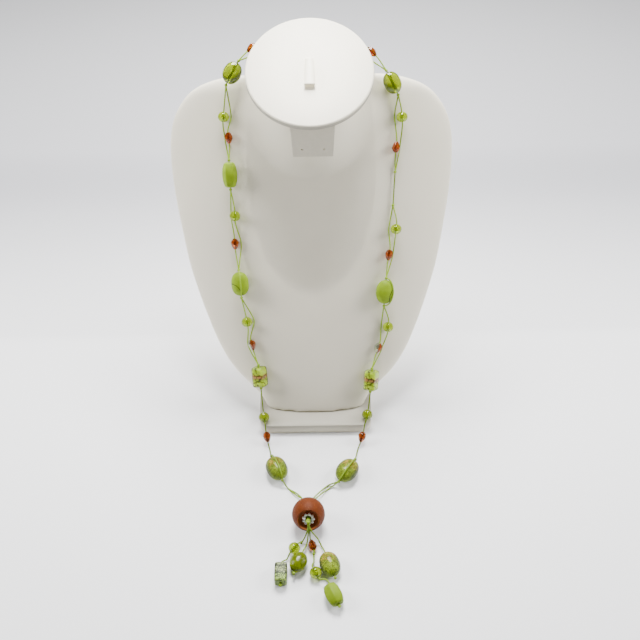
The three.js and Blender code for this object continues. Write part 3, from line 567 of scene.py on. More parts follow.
def foil_core(name, speckle, width):
    """Crumpled silver foil close under a skin of green glass: mottled green with rose and gold glints where
    the foil folds, a painted shade greying it towards the sides, and glossy on top."""
    material, tree, place = new_material(name, local=True)
    parts = add(tree, "ShaderNodeSeparateXYZ", None, {"Vector": place}).outputs
    mottle = add(tree, "ShaderNodeTexNoise", None, {
        "Vector": place, "Scale": 0.34, "Detail": 5.0, "Roughness": 0.62, "Distortion": 0.7})
    green = stops(add(tree, "ShaderNodeValToRGB", None, {"Fac": mottle}),
                  (0.28, "#3C460A"), (0.42, "#58680A"), (0.58, "#72860C"), (0.74, "#8A9230"))
    folds = add(tree, "ShaderNodeTexNoise", None, {
        "Vector": place, "Scale": 0.5, "Detail": 4.0, "Roughness": 0.7, "Distortion": 1.4})
    upper = add(tree, "ShaderNodeMapRange", SMOOTH, {
        "Value": parts["Z"], "From Min": 5.0, "From Max": -3.0, "To Min": -0.12, "To Max": 0.06})
    raised = add(tree, "ShaderNodeMath", {"operation": "ADD"}, {0: folds, 1: upper})
    glint = add(tree, "ShaderNodeMapRange", SMOOTH, {"Value": raised, "From Min": 0.53, "From Max": 0.64})
    warm = stops(add(tree, "ShaderNodeValToRGB", None, {"Fac": mottle}), (0.4, "#8A4A1C"), (0.6, "#A88C38"))
    mixed = add(tree, "ShaderNodeMix", COLOURS, {0: glint, 6: green, 7: warm})
    # Painted shade: towards the sides the colour turns to a dark grey olive
    side = add(tree, "ShaderNodeMath", {"operation": "ABSOLUTE"}, {0: parts["X"]})
    rim = add(tree, "ShaderNodeMapRange", SMOOTH, {
        "Value": side, "From Min": width * 0.3, "From Max": width * 0.48})
    skin = add(tree, "ShaderNodeMix", COLOURS, {0: rim, 6: mixed.outputs[2], 7: rgba(hex_rgb("#485228"))})
    flecks = add(tree, "ShaderNodeTexVoronoi", CELL_EDGES, {"Vector": place, "Scale": 0.9})
    cracked = add(tree, "ShaderNodeMapRange", SMOOTH, {"Value": flecks, "From Min": 0.02, "From Max": 0.16})
    bright = add(tree, "ShaderNodeMapRange", None, {
        "Value": cracked, "To Min": 1.0 - 0.6 * speckle, "To Max": 1.0 + 0.55 * speckle})
    shaded = add(tree, "ShaderNodeVectorMath", SCALED, {0: skin.outputs[2], "Scale": bright})
    bump = add(tree, "ShaderNodeBump", None, {"Height": folds, "Strength": 0.9, "Distance": 0.9 * MM})
    return surfaced(material, add(tree, "ShaderNodeBsdfPrincipled", None, {
        "Base Color": shaded, "Metallic": 0.2, "Roughness": 0.5, "Specular IOR Level": 0.25,
        "Coat Weight": 0.25, "Coat Roughness": 0.12, "Normal": bump}))


def layered_core(name, colours, veins, wide, dark, bright, half):
    """Layers of coloured glass in a pressed cuboid, given from one end to the other, crossed by dark veins
    where the layers were folded into each other, and a painted shade darkening it towards its sides."""
    material, tree, place = new_material(name, local=True)
    parts = add(tree, "ShaderNodeSeparateXYZ", None, {"Vector": place}).outputs
    swirl = add(tree, "ShaderNodeTexNoise", None, {
        "Vector": place, "Scale": 0.3, "Detail": 4.0, "Distortion": 0.8})
    shifted = add(tree, "ShaderNodeMath", TIMES_PLUS, {0: swirl, 1: 4.0, 2: parts["Z"]})
    band = add(tree, "ShaderNodeMapRange", None, {"Value": shifted, "From Min": -5.5, "From Max": 9.5})
    tone = stops(add(tree, "ShaderNodeValToRGB", None, {"Fac": band}), *colours)
    warped = add(tree, "ShaderNodeVectorMath", SCALED, {0: swirl.outputs["Color"], "Scale": 3.0})
    moved = add(tree, "ShaderNodeVectorMath", {"operation": "ADD"}, {0: place, 1: warped})
    cells = add(tree, "ShaderNodeTexVoronoi", CELL_EDGES, {"Vector": moved, "Scale": veins})
    line = add(tree, "ShaderNodeMapRange", SMOOTH, {
        "Value": cells, "From Min": 0.015, "From Max": wide, "To Min": dark, "To Max": bright})
    # Painted shade: the colour falls to half towards the sides
    side = add(tree, "ShaderNodeMath", {"operation": "ABSOLUTE"}, {0: parts["X"]})
    edge = add(tree, "ShaderNodeMapRange", SMOOTH, {
        "Value": side, "From Min": half * 0.78, "From Max": half * 0.98, "To Min": 1.0, "To Max": 0.5})
    both = add(tree, "ShaderNodeMath", TIMES, {0: line, 1: edge})
    shaded = add(tree, "ShaderNodeVectorMath", SCALED, {0: tone, "Scale": both})
    bump = add(tree, "ShaderNodeBump", None, {"Height": swirl, "Strength": 0.6, "Distance": 0.8 * MM})
    return surfaced(material, add(tree, "ShaderNodeBsdfPrincipled", None, {
        "Base Color": shaded, "Metallic": 0.1, "Roughness": 0.45, "Specular IOR Level": 0.25,
        "Normal": bump}))


def lime_stone(settings, name, deeper, groove_shade=None):
    """Dyed howlite, tumbled and waxed: opaque lime with paler clouds. The last argument adds the painted
    shade of a groove, a dark curved line on its face, as (across, along, radius) of its arc."""
    material, tree, place = new_material(name)
    clouds = add(tree, "ShaderNodeTexNoise", None, {
        "Vector": place, "Scale": 260.0, "Detail": 5.0, "Roughness": 0.55})
    stone = shade(settings.stone_colour, deeper)
    surface = stops(add(tree, "ShaderNodeValToRGB", None, {"Fac": clouds}),
                    (0.32, shade(stone, 0.82)), (0.72, shade(stone, 1.12)))
    # The groove's painted shade: a dark arc on the front face
    if groove_shade:
        across, along, radius = groove_shade
        local = add(tree, "ShaderNodeAttribute", {"attribute_name": "place"}).outputs["Vector"]
        arm = add(tree, "ShaderNodeVectorMath", {"operation": "SUBTRACT"}, {
            0: local, 1: (across, 0.0, along)})
        level = add(tree, "ShaderNodeVectorMath", TIMES, {0: arm, 1: (1, 0, 1)})
        reach = add(tree, "ShaderNodeVectorMath", {"operation": "LENGTH"}, {0: level}).outputs["Value"]
        uneven = add(tree, "ShaderNodeMath", TIMES_PLUS, {0: clouds, 1: 1.6, 2: reach})
        aside = add(tree, "ShaderNodeMath", {"operation": "COMPARE"}, {0: uneven, 1: radius + 0.8, 2: 0.3})
        out = add(tree, "ShaderNodeSeparateXYZ", None, {"Vector": local}).outputs["Y"]
        front = add(tree, "ShaderNodeMath", {"operation": "GREATER_THAN"}, {0: out, 1: 0.5})
        drawn = add(tree, "ShaderNodeMath", TIMES, {0: aside, 1: front})
        dark = add(tree, "ShaderNodeMapRange", None, {"Value": drawn, "To Min": 1.0, "To Max": 0.12})
        surface = add(tree, "ShaderNodeVectorMath", SCALED, {0: surface, "Scale": dark})
    bump = add(tree, "ShaderNodeBump", None, {"Height": clouds, "Strength": 0.2, "Distance": 0.1 * MM})
    return surfaced(material, add(tree, "ShaderNodeBsdfPrincipled", None, {
        "Base Color": surface, "Roughness": 0.5, "IOR": 1.5, "Specular IOR Level": 0.18, "Normal": bump}))


def red_stone(settings):
    """Red jasper, turned and left satin: red-brown with darker clouds and pale specks, and much paler in the
    dish, a painted light in the dish's own shade."""
    material, tree, place = new_material("polished_red_jasper")
    clouds = add(tree, "ShaderNodeTexNoise", None, {
        "Vector": place, "Scale": 160.0, "Detail": 6.0, "Roughness": 0.6, "Distortion": 0.6})
    tone = stops(add(tree, "ShaderNodeValToRGB", None, {"Fac": clouds}),
                 (0.3, shade(settings.large_colour, 0.8)), (0.7, shade(settings.large_colour, 1.15)))
    grains = add(tree, "ShaderNodeTexNoise", None, {"Vector": place, "Scale": 1500.0, "Detail": 2.0})
    speck = add(tree, "ShaderNodeMapRange", SMOOTH, {
        "Value": grains, "From Min": 0.62, "From Max": 0.72, "To Min": 0.0, "To Max": 0.55})
    specked = add(tree, "ShaderNodeMix", COLOURS, {0: speck, 6: tone, 7: rgba(hex_rgb("#8C5A34"))})
    # Painted light: inside the dish the colour is raised three to nearly six times
    inside = add(tree, "ShaderNodeAttribute", {"attribute_name": "dish"}).outputs["Fac"]
    ground = add(tree, "ShaderNodeVectorMath", TIMES, {0: tone, 1: (3.2, 4.4, 5.6)})
    lit = add(tree, "ShaderNodeMix", COLOURS, {0: inside, 6: specked.outputs[2], 7: ground})
    return surfaced(material, add(tree, "ShaderNodeBsdfPrincipled", None, {
        "Base Color": lit.outputs[2], "Roughness": 0.55, "IOR": 1.5, "Specular IOR Level": 0.12}))


def silver():
    """Cast silver-plated metal, tumbled bright, with a little tarnish in its hollows."""
    material, tree, place = new_material("cast_silver")
    tarnish = add(tree, "ShaderNodeTexNoise", None, {"Vector": place, "Scale": 700.0, "Detail": 4.0})
    tone = stops(add(tree, "ShaderNodeValToRGB", None, {"Fac": tarnish}), (0.3, "#D2D0CA"), (0.6, "#FFFFFC"))
    return surfaced(material, add(tree, "ShaderNodeBsdfPrincipled", None, {
        "Base Color": tone, "Metallic": 1.0, "Roughness": 0.4}))


def painted_board(settings):
    """Smooth painted board: matt and pale, with a painted shade in a broad band a little way behind the bust,
    and pale again further back, a painted light where the lamps fall off.
    """
    material, tree, place = new_material("painted_board")
    fine = add(tree, "ShaderNodeTexNoise", None, {"Vector": place, "Scale": 900.0, "Detail": 2.0})
    bump = add(tree, "ShaderNodeBump", None, {"Height": fine, "Strength": 0.05, "Distance": 0.05 * MM})
    back = add(tree, "ShaderNodeSeparateXYZ", None, {"Vector": place}).outputs["Y"]
    behind = add(tree, "ShaderNodeMapRange", None, {"Value": back, "From Min": 0.0, "From Max": 1.0})
    # Painted shade in a band about 0.2 to 0.3 m behind the middle, and painted light rising back to the floor
    # colour towards 1 m
    tone = stops(add(tree, "ShaderNodeValToRGB", None, {"Fac": behind}),
                 (0.02, settings.floor_colour), (0.19, settings.painted_shade_floor_colour), (0.3, settings.painted_shade_floor_colour),
                 (0.95, settings.floor_colour))
    tone.color_ramp.interpolation = "B_SPLINE"
    return surfaced(material, add(tree, "ShaderNodeBsdfPrincipled", None, {
        "Base Color": tone, "Roughness": 0.6, "Normal": bump}))


# Where the beads lie

def solid_points(node):
    """A node's corners, and its triangles as indices into them."""
    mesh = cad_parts[node].data
    corners = np.empty(len(mesh.vertices) * 3)
    mesh.vertices.foreach_get("co", corners)
    mesh.calc_loop_triangles()
    triangles = np.empty(len(mesh.loop_triangles) * 3, int)
    mesh.loop_triangles.foreach_get("vertices", triangles)
    return corners.reshape(-1, 3) / MM, triangles.reshape(-1, 3)


def seat_normal(centre):
    """The way out of what a bead lies on: the chest above the foot board, otherwise the table."""
    if centre[2] < TABLE_SEAT:
        return UP.copy()
    return (CHEST_OUT + Vector((centre[0] / CHEST_BOW_RADIUS, 0, 0))).normalized()


def lie_of(node):
    """A bead's centre, across, out and along, its size against its kind, and its wide end's side."""
    kind = kind_of(node)
    points, triangles = solid_points(node)
    corners = points[triangles]
    turn = np.cross(corners[:, 1] - corners[:, 0], corners[:, 2] - corners[:, 0])
    area = np.linalg.norm(turn, axis=1) / 2
    middle = corners.mean(axis=1)
    centre = (middle * area[:, None]).sum(axis=0) / area.sum()
    spread = np.zeros((3, 3))
    for k in range(3):
        arm = corners[:, k] - centre
        spread += np.einsum("n,ni,nj->ij", area, arm, arm) / 12
    spread += 0.75 * np.einsum("n,ni,nj->ij", area, middle - centre, middle - centre)
    values, axes = np.linalg.eigh(spread)
    if kind == "small":
        odd = 0 if values[1] - values[0] > values[2] - values[1] else 2
    else:
        odd = 2
    along = Vector(axes[:, odd])
    if along.dot(Vector((0, -1, -1))) < 0:
        along.negate()
    reach = (points - centre) @ np.array(along)
    centre = centre + np.array(along) * (reach.max() + reach.min()) / 2
    normal = seat_normal(centre)
    if kind in ("small", "amber"):
        out = (normal - along * normal.dot(along)).normalized()
    elif kind == "cuboid":
        first = along.orthogonal().normalized()
        second = along.cross(first)
        angles = np.arctan2((turn / 2) @ np.array(second), (turn / 2) @ np.array(first))
        flat = np.abs((turn / (2 * area[:, None])) @ np.array(along)) < 0.1
        inner = np.einsum("ni,ni->n", turn, middle - centre) > 0
        big = flat & inner & (area > 0.2 * area.max())
        angle = np.angle((np.exp(4j * angles) * area)[big].sum()) / 4
        out = max((first * math.cos(angle + q * math.pi / 2) + second * math.sin(angle + q * math.pi / 2)
                   for q in range(4)), key=lambda way: way.dot(normal))
    else:
        out = Vector(axes[:, 0])
        if out.dot(normal) < 0:
            out.negate()
    across = out.cross(along).normalized()
    arms = points - centre
    side = arms @ np.array(along)
    radial = np.linalg.norm(arms - side[:, None] * np.array(along), axis=1)
    wide = -1 if radial[side < -0.4 * side.max()].max() > radial[side > 0.4 * side.max()].max() else 1
    size = (reach.max() - reach.min()) / BEAD_SIZES[kind][0]
    return {"kind": kind, "centre": Vector(centre), "across": across, "out": out, "along": along,
            "size": size, "wide": wide}


LIES = {node: lie_of(node) for node in BEAD_NODES}


def on_table(node):
    """Whether a bead lies on the table, where the light is strongest."""
    return LIES[node]["centre"].z < TABLE_LIGHT


def bead_size(node):
    return tuple(s * LIES[node]["size"] for s in BEAD_SIZES[kind_of(node)])


def seat_half(node):
    """Half the height that a bead takes on what it lies on."""
    lie = LIES[node]
    normal = seat_normal(lie["centre"])
    _, width, thick = bead_size(node)
    across, out = abs(lie["across"].dot(normal)), abs(lie["out"].dot(normal))
    if lie["kind"] == "cuboid":
        return thick / 2 * out + (width / 2 - CUBOID_ROUNDING) * across
    return math.hypot(thick / 2 * out, width / 2 * across)


def put(lie, local):
    """A bead's local point, as across, out and along, in the row frame."""
    return lie["centre"] + lie["across"] * local[0] + lie["out"] * local[1] + lie["along"] * local[2]


def bead_object(node, vertices, faces, smooth=True, ending="_bead"):
    """A bead's mesh at its place, with its local millimetres kept in the attribute place."""
    lie = LIES[node]
    thing = mesh_object(node + ending, [put(lie, v) for v in vertices], faces, smooth)
    return keep(thing, "place", "FLOAT_VECTOR", [tuple(v) for v in vertices])


# Bead shapes, in local millimetres: across, out, along

def wobble(angle, height, seed, amount):
    """A hand-made bead's slight unevenness."""
    return 1 + amount * (math.sin(2 * angle + seed) * 0.6 + math.sin(3 * angle - 1.7 * seed + 0.3 * height)
                         * 0.4 + 0.5 * math.sin(0.45 * height + seed))


def turned(profile, around, flatness=1.0, seed=0.0, amount=0.0):
    """A closed bead from (radius, height) rows that run up its outside and back down its bore."""
    rings = []
    for radius, height in profile:
        ring = []
        share = min(max((radius - BORE_RADIUS) / (2 * BORE_RADIUS), 0), 1)
        flat = 1 - (1 - flatness) * share
        for i in range(around):
            angle = 2 * math.pi * i / around
            r = radius * wobble(angle, height, seed, amount * share)
            ring.append((r * math.cos(angle), r * math.sin(angle) * flat, height))
        rings.append(ring)
    return loft(rings, ringed=True)


def oval_profile(length, width, power=2.15, steps=30):
    """Outside of an oval bead with a softly rounded mouth at each end, then its bore."""
    bore, lip = BORE_RADIUS, MOUTH_LIP
    rows = []
    for i in range(steps + 1):
        angle = (i / steps - 0.5) * math.pi
        c, s = abs(math.cos(angle)), math.sin(angle)
        radius = c ** (2 / power) * width / 2
        height = math.copysign(abs(s) ** (2 / power), s) * length / 2
        if radius > bore + lip:
            rows.append((radius, height))
    end = rows[-1][1]
    top = [(bore + lip * 0.55, end + 0.04), (bore + lip * 0.18, end - 0.06), (bore, end - lip)]
    bottom = [(r, -h) for r, h in reversed(top)]
    return bottom + rows + top


def oval_mesh(size, around, seed, amount, power=2.15):
    length, width, thick = size
    return turned(oval_profile(length, width, power), around, thick / width, seed, amount)


def drop_mesh(size, wide, turn):
    """A fire-polished drop: rows of facets set half a facet round from one another."""
    length, width, _ = size
    rows = ((-1, 0.36), (-0.78, 0.72), (-0.3, 1.0), (0.22, 0.9), (0.7, 0.6), (1, 0.3))
    sides = DROP_SIDES
    rings = []
    for k, (height, radius) in enumerate(rows):
        around = circle(max(radius * width / 2, BORE_RADIUS), sides, (k % 2) / 2, turn)
        rings.append([(x, y, -wide * height * length / 2) for x, y in around])
    for end in (-wide, wide):
        mouth = circle(DROP_BORE_RADIUS, sides, 0.5, turn)
        rings.append([(x, y, end * (length / 2 - DROP_MOUTH)) for x, y in mouth])
    vertices = [p for ring in rings for p in ring]
    faces = []
    for k in range(len(rows) - 1):
        low, high = k * sides, (k + 1) * sides
        for i in range(sides):
            j = (i + 1) % sides
            if k % 2 == 0:
                faces += [(low + i, low + j, high + i), (high + i, low + j, high + j)]
            else:
                faces += [(low + i, high + j, high + i), (low + i, low + j, high + j)]
    last = (len(rows) - 1) * sides
    inner, outer = last + sides, last + 2 * sides
    for i in range(sides):
        j = (i + 1) % sides
        faces.append((last + i, last + j, inner + j, inner + i))
        faces.append((inner + i, inner + j, outer + j, outer + i))
        faces += [(outer + i, outer + j, j), (outer + i, j, i)]
    return vertices, faces


def barrel_mesh(size, sides, turn):
    """A cut barrel: soft flats round it, truncated ends and a rounded bore mouth."""
    length, width, thick = size
    rows = mirrored(((0.47, -1.0), (0.52, -0.985), (0.7, -0.9), (0.74, -0.87), (0.93, -0.5), (0.985, -0.25)),
                    (1.0, 0.0))
    around = 72
    rings = []
    for radius, height in rows:
        ring = []
        for i in range(around):
            angle = 2 * math.pi * i / around
            part = (angle - turn + math.pi / sides) % (2 * math.pi / sides) - math.pi / sides
            flat = math.cos(math.pi / sides) / math.cos(part)
            r = radius * width / 2 * (1 + (flat * 1.035 - 1) * 0.8)
            ring.append((r * math.cos(angle), r * math.sin(angle) * thick / width, height * length / 2))
        rings.append(ring)
    bore = BORE_RADIUS / (width / 2)
    inside = ((0.28, 0.985), (bore, 0.93), (bore, -0.93), (0.28, -0.985))
    rings += turned_rings([(r * width / 2, h * (length / 2)) for r, h in inside], around)
    return loft(rings, ringed=True)


def cuboid_mesh(size):
    """A pressed glass cuboid with rounded edges, softly swollen sides and a bore."""
    length, width, thick = size
    around = 64
    rings = []
    for inset, height in mirrored(((1.6, -1.0), (1.0, -0.995), (0.45, -0.965), (0.12, -0.91), (0.0, -0.82),
                                   (-0.05, -0.4)), (-0.07, 0.0)):
        ring = []
        for c, s in circle(1.0, around, 0.5):
            r = 1 / (abs(c) ** CUBOID_POWER + abs(s) ** CUBOID_POWER) ** (1 / CUBOID_POWER)
            ring.append(((width / 2 - inset) * r * c, (thick / 2 - inset) * r * s, height * length / 2))
        rings.append(ring)
    inside = ((1.5, 1.0), (BORE_RADIUS, 0.95), (BORE_RADIUS, -0.95), (1.5, -1.0))
    rings += turned_rings([(radius, height * length / 2) for radius, height in inside], around, 0.5)
    return loft(rings, ringed=True)


def beads_of(*kinds):
    """Each bead of these kinds, as its node, kind, size and seed."""
    for node in BEAD_NODES:
        if kind_of(node) in kinds:
            yield node, kind_of(node), bead_size(node), sum(map(ord, node)) % 7


def dress(node, shape, material, smooth=True):
    """Puts a bead's shape in its place, to stand for its solid."""
    finished(tidy_normals(bead_object(node, *shape, smooth=smooth)), node, material)


class NECKLACE_OT_glass_beads(bpy.types.Operator):
    """Makes the small rounds, faceted drops and clear ovals"""
    bl_idname = "necklace.glass_beads"
    bl_label = "Glass beads"

    def execute(self, context):
        settings = context.scene.necklace_beads
        # Lit and shaded copies of the glass: beads on the chest take lighter ones and beads on the table
        # darker ones, painted light and shade
        glass = {"coated": coated_amber(settings.amber_colour),
                 "green": clear_glass("lime_glass", shade(settings.clear_colour, 0.8), 0.85),
                 "milky": clear_glass("milky_lime_glass", shade(settings.clear_colour, 0.4), 0.5, 0.2, 0.15)}
        for depth, deeper in (("", 1.1), ("deep_", 0.74)):
            lime, amber = shade(settings.clear_colour, deeper), shade(settings.amber_colour, deeper)
            glass[depth + "bright"] = clear_glass(depth + "bright_lime_glass", shade(lime, 1.2), 0.78)
            glass[depth + "amber"] = clear_glass(depth + "amber_glass", amber, 0.92)
        for node, kind, size, seed in beads_of("small", "green_oval", "amber"):
            depth = "deep_" if on_table(node) else ""
            if kind == "small":
                shape = turned(oval_profile(size[0], size[1], 2.0, 24), settings.around, 1.0, seed, 0.012)
                dress(node, shape, glass[depth + "bright"])
            elif kind == "green_oval":
                shape = oval_mesh(size, settings.around, seed, 0.015)
                dress(node, shape, glass["milky" if on_table(node) else "green"])
            else:
                shape = drop_mesh(size, LIES[node]["wide"], 0.3 * seed)
                finish = "coated" if node.endswith("amber_4") else depth + "amber"
                dress(node, shape, glass[finish], smooth=False)
        return {"FINISHED"}


class NECKLACE_OT_foil_beads(bpy.types.Operator):
    """Makes the foil ovals and the layered cuboids"""
    bl_idname = "necklace.foil_beads"
    bl_label = "Foil and layered beads"

    def execute(self, context):
        settings = context.scene.necklace_beads
        skin = clear_glass("clear_casing_glass", hex_rgb("#E6E8B8"), 1.0, 0.26, 0.1)
        foils = {"left": foil_core("foil_leaf", 0.45, 15.2), "right": foil_core("foil_leaf_soft", 0.6, 15.2),
                 "tassel": foil_core("foil_leaf_flecked", 1.0, 13.5)}
        lime_layers = layered_core("lime_rose_layers", (
            (0.0, "#93AC20"), (0.2, "#A8C02A"), (0.33, "#B7CB3E"), (0.42, "#A06A44"), (0.5, "#B08262"),
            (0.56, "#8A8434"), (0.66, "#A9C22C"), (0.86, "#B8D02E"), (1.0, "#8CA61C")),
            veins=0.13, wide=0.07, dark=0.3, bright=1.8, half=9.0)
        silver_layers = layered_core("silver_crackle_layers", (
            (0.0, "#525C38"), (0.16, "#6A744A"), (0.25, "#28301A"), (0.3, "#6A744A"), (0.52, "#6E7850"),
            (0.6, "#28301A"), (0.65, "#6E8440"), (0.9, "#7A9044"), (1.0, "#4E6028")),
            veins=0.6, wide=0.2, dark=0.15, bright=1.5, half=4.6)
        for node, kind, size, seed in beads_of("foil_oval", "cuboid"):
            if kind == "foil_oval":
                shape = oval_mesh(size, settings.around, seed, 0.012)
                dress(node, shape, foils[node.split("_")[0]])
            elif node.startswith("tassel"):
                dress(node, cuboid_mesh(size), silver_layers)
            else:
                dress(node, cuboid_mesh(size), skin)
                inner = cuboid_mesh([s - CUBOID_CASING for s in size])
                core = tidy_normals(bead_object(node, *inner, ending="_layers"))
                finished(core, None, lime_layers)
        return {"FINISHED"}


class NECKLACE_OT_stone_beads(bpy.types.Operator):
    """Makes the lime ovals and barrels and the large red-brown bead"""
    bl_idname = "necklace.stone_beads"
    bl_label = "Stone beads"

    def execute(self, context):
        settings = context.scene.necklace_beads
        lime, red = lime_stone(settings, "dyed_lime_stone", 1.0), red_stone(settings)
        # A darker copy of the stone for barrels on the table, a painted shade against the stronger light
        # there
        table_shaded_stone = lime_stone(settings, "deep_dyed_lime_stone", 0.67)
        # Each stone oval gets the painted shade of a groove across its face
        veins = {"left": (-5.2, 6.8, 7.4), "right": (9.5, 3.2, 7.3)}
        for node, kind, size, seed in beads_of("stone_oval", "barrel"):
            side = node.split("_")[0]
            if kind == "stone_oval":
                groove_shaded = lime_stone(settings, side + "_veined_lime_stone", 1.0, veins[side])
                dress(node, oval_mesh(size, 64, seed, 0.02, 2.25), groove_shaded)
            else:
                cut = size[0] * TASSEL_BARREL_CUT if side == "tassel" else 0.0
                vertices, faces = barrel_mesh((size[0] - cut, size[1], size[2]), 6, 0.2)
                vertices = [v + Vector((0, 0, cut / 2)) for v in vertices]
                dress(node, (vertices, faces), table_shaded_stone if on_table(node) else lime)
        finished(large_bead(), "large_bead", red)
        return {"FINISHED"}


def large_bead():
    """The large bead: a ball with a dished face, tilted up to the front."""
    back = -math.sqrt(LARGE_RADIUS**2 - LARGE_BORE**2)
    rows = [(LARGE_BORE, back + 0.5), (LARGE_BORE + 0.15, back + 0.12)]
    start, end = math.asin(back / LARGE_RADIUS) + 0.03, math.asin(LARGE_RIM / LARGE_RADIUS) - 0.035
    for i in range(41):
        angle = start + (end - start) * i / 40
        rows.append((LARGE_RADIUS * math.cos(angle), LARGE_RADIUS * math.sin(angle)))
    rows += [(DISH_RADIUS + 0.12, LARGE_RIM + 0.02), (DISH_RADIUS - 0.18, LARGE_RIM - 0.12)]
    for i in range(1, 11):
        angle = i / 10 * math.pi / 2
        rows.append((DISH_RADIUS - 0.4 - (DISH_RADIUS - 0.4 - DISH_FLOOR_RADIUS) * (1 - math.cos(angle)),
                     LARGE_RIM - 0.4 - (DISH_DEPTH - 0.4) * math.sin(angle)))
    rows += [(3.4, DISH_FLOOR), (LARGE_BORE + 0.1, DISH_FLOOR - 0.02), (LARGE_BORE, DISH_FLOOR - 0.3)]
    vertices, faces = loft(turned_rings(rows, 96), ringed=True)
    turn = LARGE_AXIS.to_track_quat("Z", "Y")
    bead = mesh_object("large_bead_stone", [LARGE_CENTRE + turn @ Vector(v) for v in vertices], faces)
    # The attribute dish marks where the stone's colour is raised, a painted light
    return tidy_normals(keep(bead, "dish", "FLOAT", [
        1.0 if math.hypot(x, y) < DISH_RADIUS - 0.1 and z > 0 else 0.0 for x, y, z in vertices]))


# Trees for what repeats or follows a path

def new_tree(name, given):
    """A tree with geometry in and out and named inputs, as the tree, what it is given, and each input's
    identifier."""
    tree = bpy.data.node_groups.new(name, "GeometryNodeTree")
    tree.interface.new_socket("Geometry", in_out="INPUT", socket_type="NodeSocketGeometry")
    identifiers = {}
    for label, value in given.items():
        kind = "NodeSocketInt" if isinstance(value, int) else "NodeSocketFloat"
        socket = tree.interface.new_socket(label, in_out="INPUT", socket_type=kind)
        socket.default_value = value
        identifiers[label] = socket.identifier
    tree.interface.new_socket("Geometry", in_out="OUTPUT", socket_type="NodeSocketGeometry")
    return tree, add(tree, "NodeGroupInput").outputs, identifiers


def close_tree(tree, parts, material, smooth=False):
    """Ends a tree with its parts joined, made real and given their material."""
    whole = add(tree, "GeometryNodeJoinGeometry", None, {0: parts})
    whole = add(tree, "GeometryNodeRealizeInstances", None, {"Geometry": whole})
    if smooth:
        whole = add(tree, "GeometryNodeSetShadeSmooth", None, {"Geometry": whole})
    dressed = add(tree, "GeometryNodeSetMaterial", None, {"Geometry": whole, "Material": material})
    add(tree, "NodeGroupOutput", None, {0: dressed})


def grown(thing, tree, values):
    """Runs a tree on an object, with its inputs' values by identifier, into a plain mesh."""
    modifier = thing.modifiers.new(tree.name, "NODES")
    modifier.node_group = tree
    for identifier, value in values.items():
        modifier[identifier] = value
    return baked(thing)


# Cap

def cap_tree(metal):
    """Balls round the edge of a turned dish."""
    tree, given, _ = new_tree("ball_edged_cap", {
        "Edge radius": CAP_RADIUS * MM, "Edge height": (CAP_RISE + CAP_THICKNESS / 2) * MM,
        "Ball radius": CAP_BALL_RADIUS * MM, "Balls": CAP_BALLS})
    edge = add(tree, "GeometryNodeMeshCircle", None, {
        "Vertices": given["Balls"], "Radius": given["Edge radius"]})
    lift = add(tree, "ShaderNodeCombineXYZ", None, {"Z": given["Edge height"]})
    raised = add(tree, "GeometryNodeTransform", None, {"Geometry": edge, "Translation": lift})
    ball = add(tree, "GeometryNodeMeshUVSphere", None, {
        "Segments": 20, "Rings": 12, "Radius": given["Ball radius"]})
    smooth = add(tree, "GeometryNodeSetShadeSmooth", None, {"Geometry": ball})
    balls = add(tree, "GeometryNodeInstanceOnPoints", None, {"Points": raised, "Instance": smooth})
    close_tree(tree, [given["Geometry"], balls], metal)
    return tree


class NECKLACE_OT_cap(bpy.types.Operator):
    """Makes the silver bead cap with its beaded edge"""
    bl_idname = "necklace.cap"
    bl_label = "Bead cap"

    def execute(self, context):
        metal = silver()
        inner, waist = STEM_RADIUS + GAP, (CAP_RADIUS * 0.75, CAP_RISE * 0.45)
        rows = [(inner, 0.0), waist, (CAP_RADIUS, CAP_RISE), (CAP_RADIUS, CAP_RISE + CAP_THICKNESS),
                (waist[0], waist[1] + CAP_THICKNESS), (inner, CAP_THICKNESS)]
        cap = mesh_object("bead_cap_silver", *loft(turned_rings(rows, 48), ringed=True))
        grown(cap, cap_tree(metal), {})
        turn = LARGE_AXIS.to_track_quat("Z", "Y").to_matrix().to_4x4()
        turn.translation = (LARGE_CENTRE + LARGE_AXIS * (DISH_FLOOR + GAP)) * MM
        cap.data.transform(turn)
        finished(tidy_normals(cap), "bead_cap", metal)
        return {"FINISHED"}


# Cord

def smooth_run(points, step=0.6):
    """A smooth curve through points, as evenly spaced points."""
    points = [Vector(p) for p in points]
    points = [p for i, p in enumerate(points) if i == 0 or (p - points[i - 1]).length > 0.05]
    if len(points) < 3:
        count = max(int((points[-1] - points[0]).length / step), 1)
        return [points[0].lerp(points[-1], i / count) for i in range(count + 1)]
    chain = [points[0] * 2 - points[1], *points, points[-1] * 2 - points[-2]]
    run = [points[0]]
    for a, b, c, d in zip(chain, chain[1:], chain[2:], chain[3:]):
        t1 = (b - a).length ** 0.5
        t2 = t1 + (c - b).length ** 0.5
        t3 = t2 + (d - c).length ** 0.5
        count = max(int((c - b).length / step), 2)
        for i in range(1, count + 1):
            t = t1 + (t2 - t1) * i / count
            p = a * ((t1 - t) / t1) + b * (t / t1)
            q = b * ((t2 - t) / (t2 - t1)) + c * ((t - t1) / (t2 - t1))
            r = c * ((t3 - t) / (t3 - t2)) + d * ((t - t2) / (t3 - t2))
            s = p * ((t2 - t) / t2) + q * (t / t2)
            u = q * ((t3 - t) / (t3 - t1)) + r * ((t - t1) / (t3 - t1))
            run.append(s * ((t2 - t) / (t2 - t1)) + u * ((t - t1) / (t2 - t1)))
    return run


